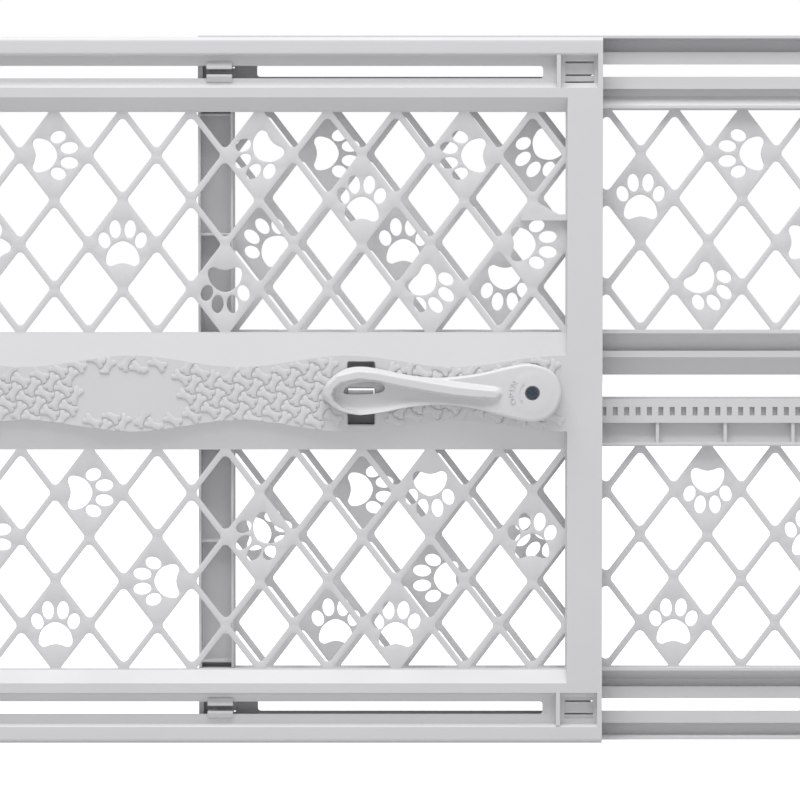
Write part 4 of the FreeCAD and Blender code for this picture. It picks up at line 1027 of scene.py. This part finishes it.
lever_low, lever_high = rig.box("lever")
screw_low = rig.box("pivot_screw")[0]
recess = LEVER_TALL - (screw_low.y - lever_low.y) / MM - SCREW_HEAD_TALL
window = as_object("window_cutter", prism(smooth_loop(WINDOW, 6), -1, THROUGH))
sink = as_object("recess_cutter", prism(ring_of(RECESS_RADIUS), recess, THROUGH, RECESS_FLARE))
bore = as_object("bore_cutter", prism(ring_of(BORE_RADIUS, 20), -THROUGH, THROUGH))
catch = as_object("catch", closed([[(x, z, level) for z, level in CATCH_SIDE] for x in CATCH_ENDS]))
boss_foot = LEVER_TALL - (lever_high.y - lever_low.y) / MM
boss = as_object("boss", prism(ring_of(BOSS_RADIUS), boss_foot, BOSS_SUNK))
solid = placed("lever_windowed", cut_by(as_object("lever_shell", lever_shell()), [window]))
solid = placed("lever_backed", cut_by(solid, [catch, boss], "UNION"))
lever_mesh = cut_by(solid, [sink, bore])
creased(lever_mesh, 35)
lever_piece = link("lever_grip", lever_mesh, "lever_plastic", "lever")
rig.replaces(lever_piece, "lever")
print("lever:", len(lever_mesh.polygons), "faces, box", [round(v * 1000, 1) for v in lever_piece.dimensions])

# %% [markdown]
# Round the screw the lever says which way it goes: the word OPEN stands up along an arc, next to an arc with
# an arrowhead at each end. Both are raised by half a millimetre in the same plastic, so only their edges
# show. The letters are text objects made into meshes, then laid on the hub one by one.

# %% Raised letters and arrow
RAISED = 0.5
EDGE = 0.08  # how far a raised sign's edge is broken
LETTER_TALL = 4.6
CAPITAL = 0.7  # a capital's height as a share of the font's size
LETTERS = [("O", 200.0), ("P", 183.0), ("E", 167.0), ("N", 151.0)]
LETTER_RADIUS = 16.8
ARROW_RADIUS = 10.9
ARROW = (127.0, 222.0)
ARROW_STEPS, HEAD_STEPS = 28, 3
LINE_HALF, TIP_HALF, BARB_HALF = 0.28, 0.05, 1.15


def on_hub(x, z):
    """The hub's height at a place about the pivot."""
    return lever_height(x, z, 9.0)


def letter(text, degrees):
    """One raised letter, its foot towards the pivot."""
    data = bpy.data.curves.new("letter_" + text, "FONT")
    data.body = text
    data.size = LETTER_TALL / CAPITAL * MM
    data.align_x = "CENTER"
    data.align_y = "CENTER"
    data.extrude = RAISED * MM
    data.bevel_depth = EDGE * MM
    data.resolution_u = 3
    mesh = applied(placed("letter_" + text, data))
    turn = math.radians(degrees)
    x, z = LETTER_RADIUS * math.cos(turn), LETTER_RADIUS * math.sin(turn)
    upright = Matrix.Rotation(math.radians(90), 4, "X")
    leaning = Matrix.Rotation(-(turn - math.pi / 2), 4, "Y")
    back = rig.box("lever")[0].y + LEVER_TALL * MM
    place = Matrix.Translation(((PX + x) * MM, back - on_hub(x, z) * MM, (PZ + z) * MM))
    mesh.transform(place @ leaning @ upright)
    return mesh


def arrow():
    """The arc with its two heads, a thin raised strip."""
    start, end = (math.radians(a) for a in ARROW)
    marks = []
    for n in range(ARROW_STEPS + 1):
        turn = mixed(start, end, n / ARROW_STEPS)
        if n in (HEAD_STEPS, ARROW_STEPS - HEAD_STEPS):
            marks.append((turn, BARB_HALF))
        marks.append((turn, TIP_HALF if n in (0, ARROW_STEPS) else LINE_HALF))
    rows = []
    for turn, wide in marks:
        inner, outer = ARROW_RADIUS - wide, ARROW_RADIUS + wide
        row = []
        for radius, lift in ((inner, -0.3), (inner, RAISED - EDGE), (inner + 0.05, RAISED),
                             (outer - 0.05, RAISED), (outer, RAISED - EDGE), (outer, -0.3)):
            x, z = radius * math.cos(turn), radius * math.sin(turn)
            row.append((x, z, on_hub(x, z) + lift))
        rows.append(row)
    return closed(rows)


signs = bmesh.new()
for text, degrees in LETTERS:
    mesh = letter(text, degrees)
    signs.from_mesh(mesh)
    bpy.data.meshes.remove(mesh)
made = as_object("arrow", arrow())
signs.from_mesh(made.data)
bpy.data.objects.remove(made)
mesh = as_mesh("lever_signs", signs)
creased(mesh, 30)
link("lever_signs", mesh, "lever_plastic", "lever")
print("signs:", len(mesh.polygons), "faces")

# %% [markdown]
# One screw holds the lever, its cam and a large washer at the back, with a sleeve round the shank that keeps
# the panels free to slide. The screw and nut are zinc plated steel with a blue-black finish: a dark metal
# with a soft gloss, a little uneven from the plating bath.

# %% Pivot hardware
screw_steel = bpy.data.materials.new("zinc_plated_steel_blackened")
screw_steel.use_nodes = True
tree = screw_steel.node_tree
shader = tree.nodes["Principled BSDF"]
place = add(tree, "ShaderNodeTexCoord").outputs["Object"]
bath = add(tree, "ShaderNodeTexNoise", {"Vector": place, "Scale": 1000 / 1.4, "Detail": 3.0})
tone = add(tree, "ShaderNodeMix", {"Factor": bath.outputs["Fac"], "A": linear("#6F7A88"),
                                   "B": linear("#2A313B")}, data_type="RGBA")
gloss = add(tree, "ShaderNodeMapRange", {"Value": bath.outputs["Fac"], "To Min": 0.28, "To Max": 0.46})
tree.links.new(tone.outputs["Result"], shader.inputs["Base Color"])
tree.links.new(gloss.outputs["Result"], shader.inputs["Roughness"])
shader.inputs["Metallic"].default_value = 1.0
FINISH["screw_steel"] = screw_steel
softened("pivot_screw", 0.12, "screw_steel")
softened("lock_nut", 0.25, "screw_steel")
softened("clamp_washer", 0.4, "lock_plastic")
softened("spacer_sleeve", 0.2, "lock_plastic")
print("hardware in", screw_steel.name, "and", FINISH["lock_plastic"].name)

# %% [markdown]
# The four rubber pads press on the door frame. Their outer faces carry a row of low ribs across, which grip
# without marking the paint. A tree sets one half-round rib at every pitch of a line.

# %% Rubber pads
RIB_HIGH = 0.8
RIB_PITCH = 3.1
RIB_HALF = 0.85
RIB_TAPER = (0.5, 0.35)  # a rib's ends: how long, and how small they get
RIB_SUNK = 0.5  # how far its back lies in the pad
PAD_RADIUS = 1.2
PAD_SIDES, PAD_ENDS = 3.4, 8.0  # left free of ribs, both sides together


def rib_mesh(long):
    """One half-round rib along Y with closed ends, its back in the XZ plane's origin."""
    taper, small = RIB_TAPER
    rows = []
    for y, size in ((-long / 2, small), (-long / 2 + taper, 1.0), (long / 2 - taper, 1.0), (long / 2, small)):
        row = [(-RIB_SUNK * MM, y * MM, side * RIB_HALF * size * MM) for side in (-1, 1)]
        row[1:1] = [(math.cos(a) * RIB_HIGH * size * MM, y * MM, math.sin(a) * RIB_HALF * size * MM)
                    for a in (math.radians(d) for d in (-90, -55, -20, 20, 55, 90))]
        rows.append(row)
    return placed("rib", as_mesh("rib", closed(rows)))


rib_tree, given, rib_keys = node_tree("pad_ribs", [
    ("Rib", "Object"), ("Count", "Int"), ("Pitch", "Float"), ("Outer Face", "Float"), ("Depth", "Float"),
    ("Lowest", "Float"), ("Turn", "Float"), ("Finish", "Material")])
t = rib_tree
start = add(t, "ShaderNodeCombineXYZ", {"X": given["Outer Face"], "Y": given["Depth"], "Z": given["Lowest"]})
step = add(t, "ShaderNodeCombineXYZ", {"Z": given["Pitch"]})
row = add(t, "GeometryNodeMeshLine", {"Count": given["Count"], "Start Location": start, "Offset": step})
shape = add(t, "GeometryNodeObjectInfo", {"Object": given["Rib"]}, transform_space="ORIGINAL")
facing = add(t, "ShaderNodeCombineXYZ", {"Z": given["Turn"]})
laid = add(t, "GeometryNodeInstanceOnPoints", {"Points": row, "Instance": shape.outputs["Geometry"],
                                               "Rotation": facing})
tree_end(t, laid, given["Finish"])

for side, outward in (("front", -1), ("rear", 1)):
    for place in ("top", "bottom"):
        node = f"{side}_{place}_bumper"
        low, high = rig.box(node)
        outer = (low.x if outward < 0 else high.x) - outward * RIB_HIGH * MM
        shape = merged(node)
        for vertex in shape.verts:
            if outward * (vertex.co.x - outer) > 0:
                vertex.co.x = outer
        pad_piece = link(node + "_pad", as_mesh(node + "_pad", shape), "bumper_rubber", BODY_OF[node])
        rounded(pad_piece, PAD_RADIUS, 3, 35)
        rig.replaces(pad_piece, node)
        rib = rib_mesh((high.y - low.y) / MM - PAD_SIDES)
        count = int(((high.z - low.z) / MM - PAD_ENDS) / RIB_PITCH)
        source = point_mesh(node + "_rib_row", [(0, 0)])
        mesh, open_edges = worked_out(source, rib_tree, rib_keys, {
            "Rib": rib, "Count": count, "Pitch": RIB_PITCH * MM, "Outer Face": outer,
            "Depth": (low.y + high.y) / 2,
            "Lowest": (low.z + high.z) / 2 - (count - 1) / 2 * RIB_PITCH * MM,
            "Turn": math.pi if outward < 0 else 0.0, "Finish": FINISH["bumper_rubber"]})
        bpy.data.objects.remove(rib)
        creased(mesh, 60)
        link(node + "_ribs", mesh, "bumper_rubber", BODY_OF[node])
        print(node, count, "ribs,", open_edges, "open edges")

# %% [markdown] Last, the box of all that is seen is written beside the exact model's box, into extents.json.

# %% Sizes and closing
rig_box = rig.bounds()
json.dump([[list(c) for c in cad_box], [list(c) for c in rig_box]], open("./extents.json", "w"))
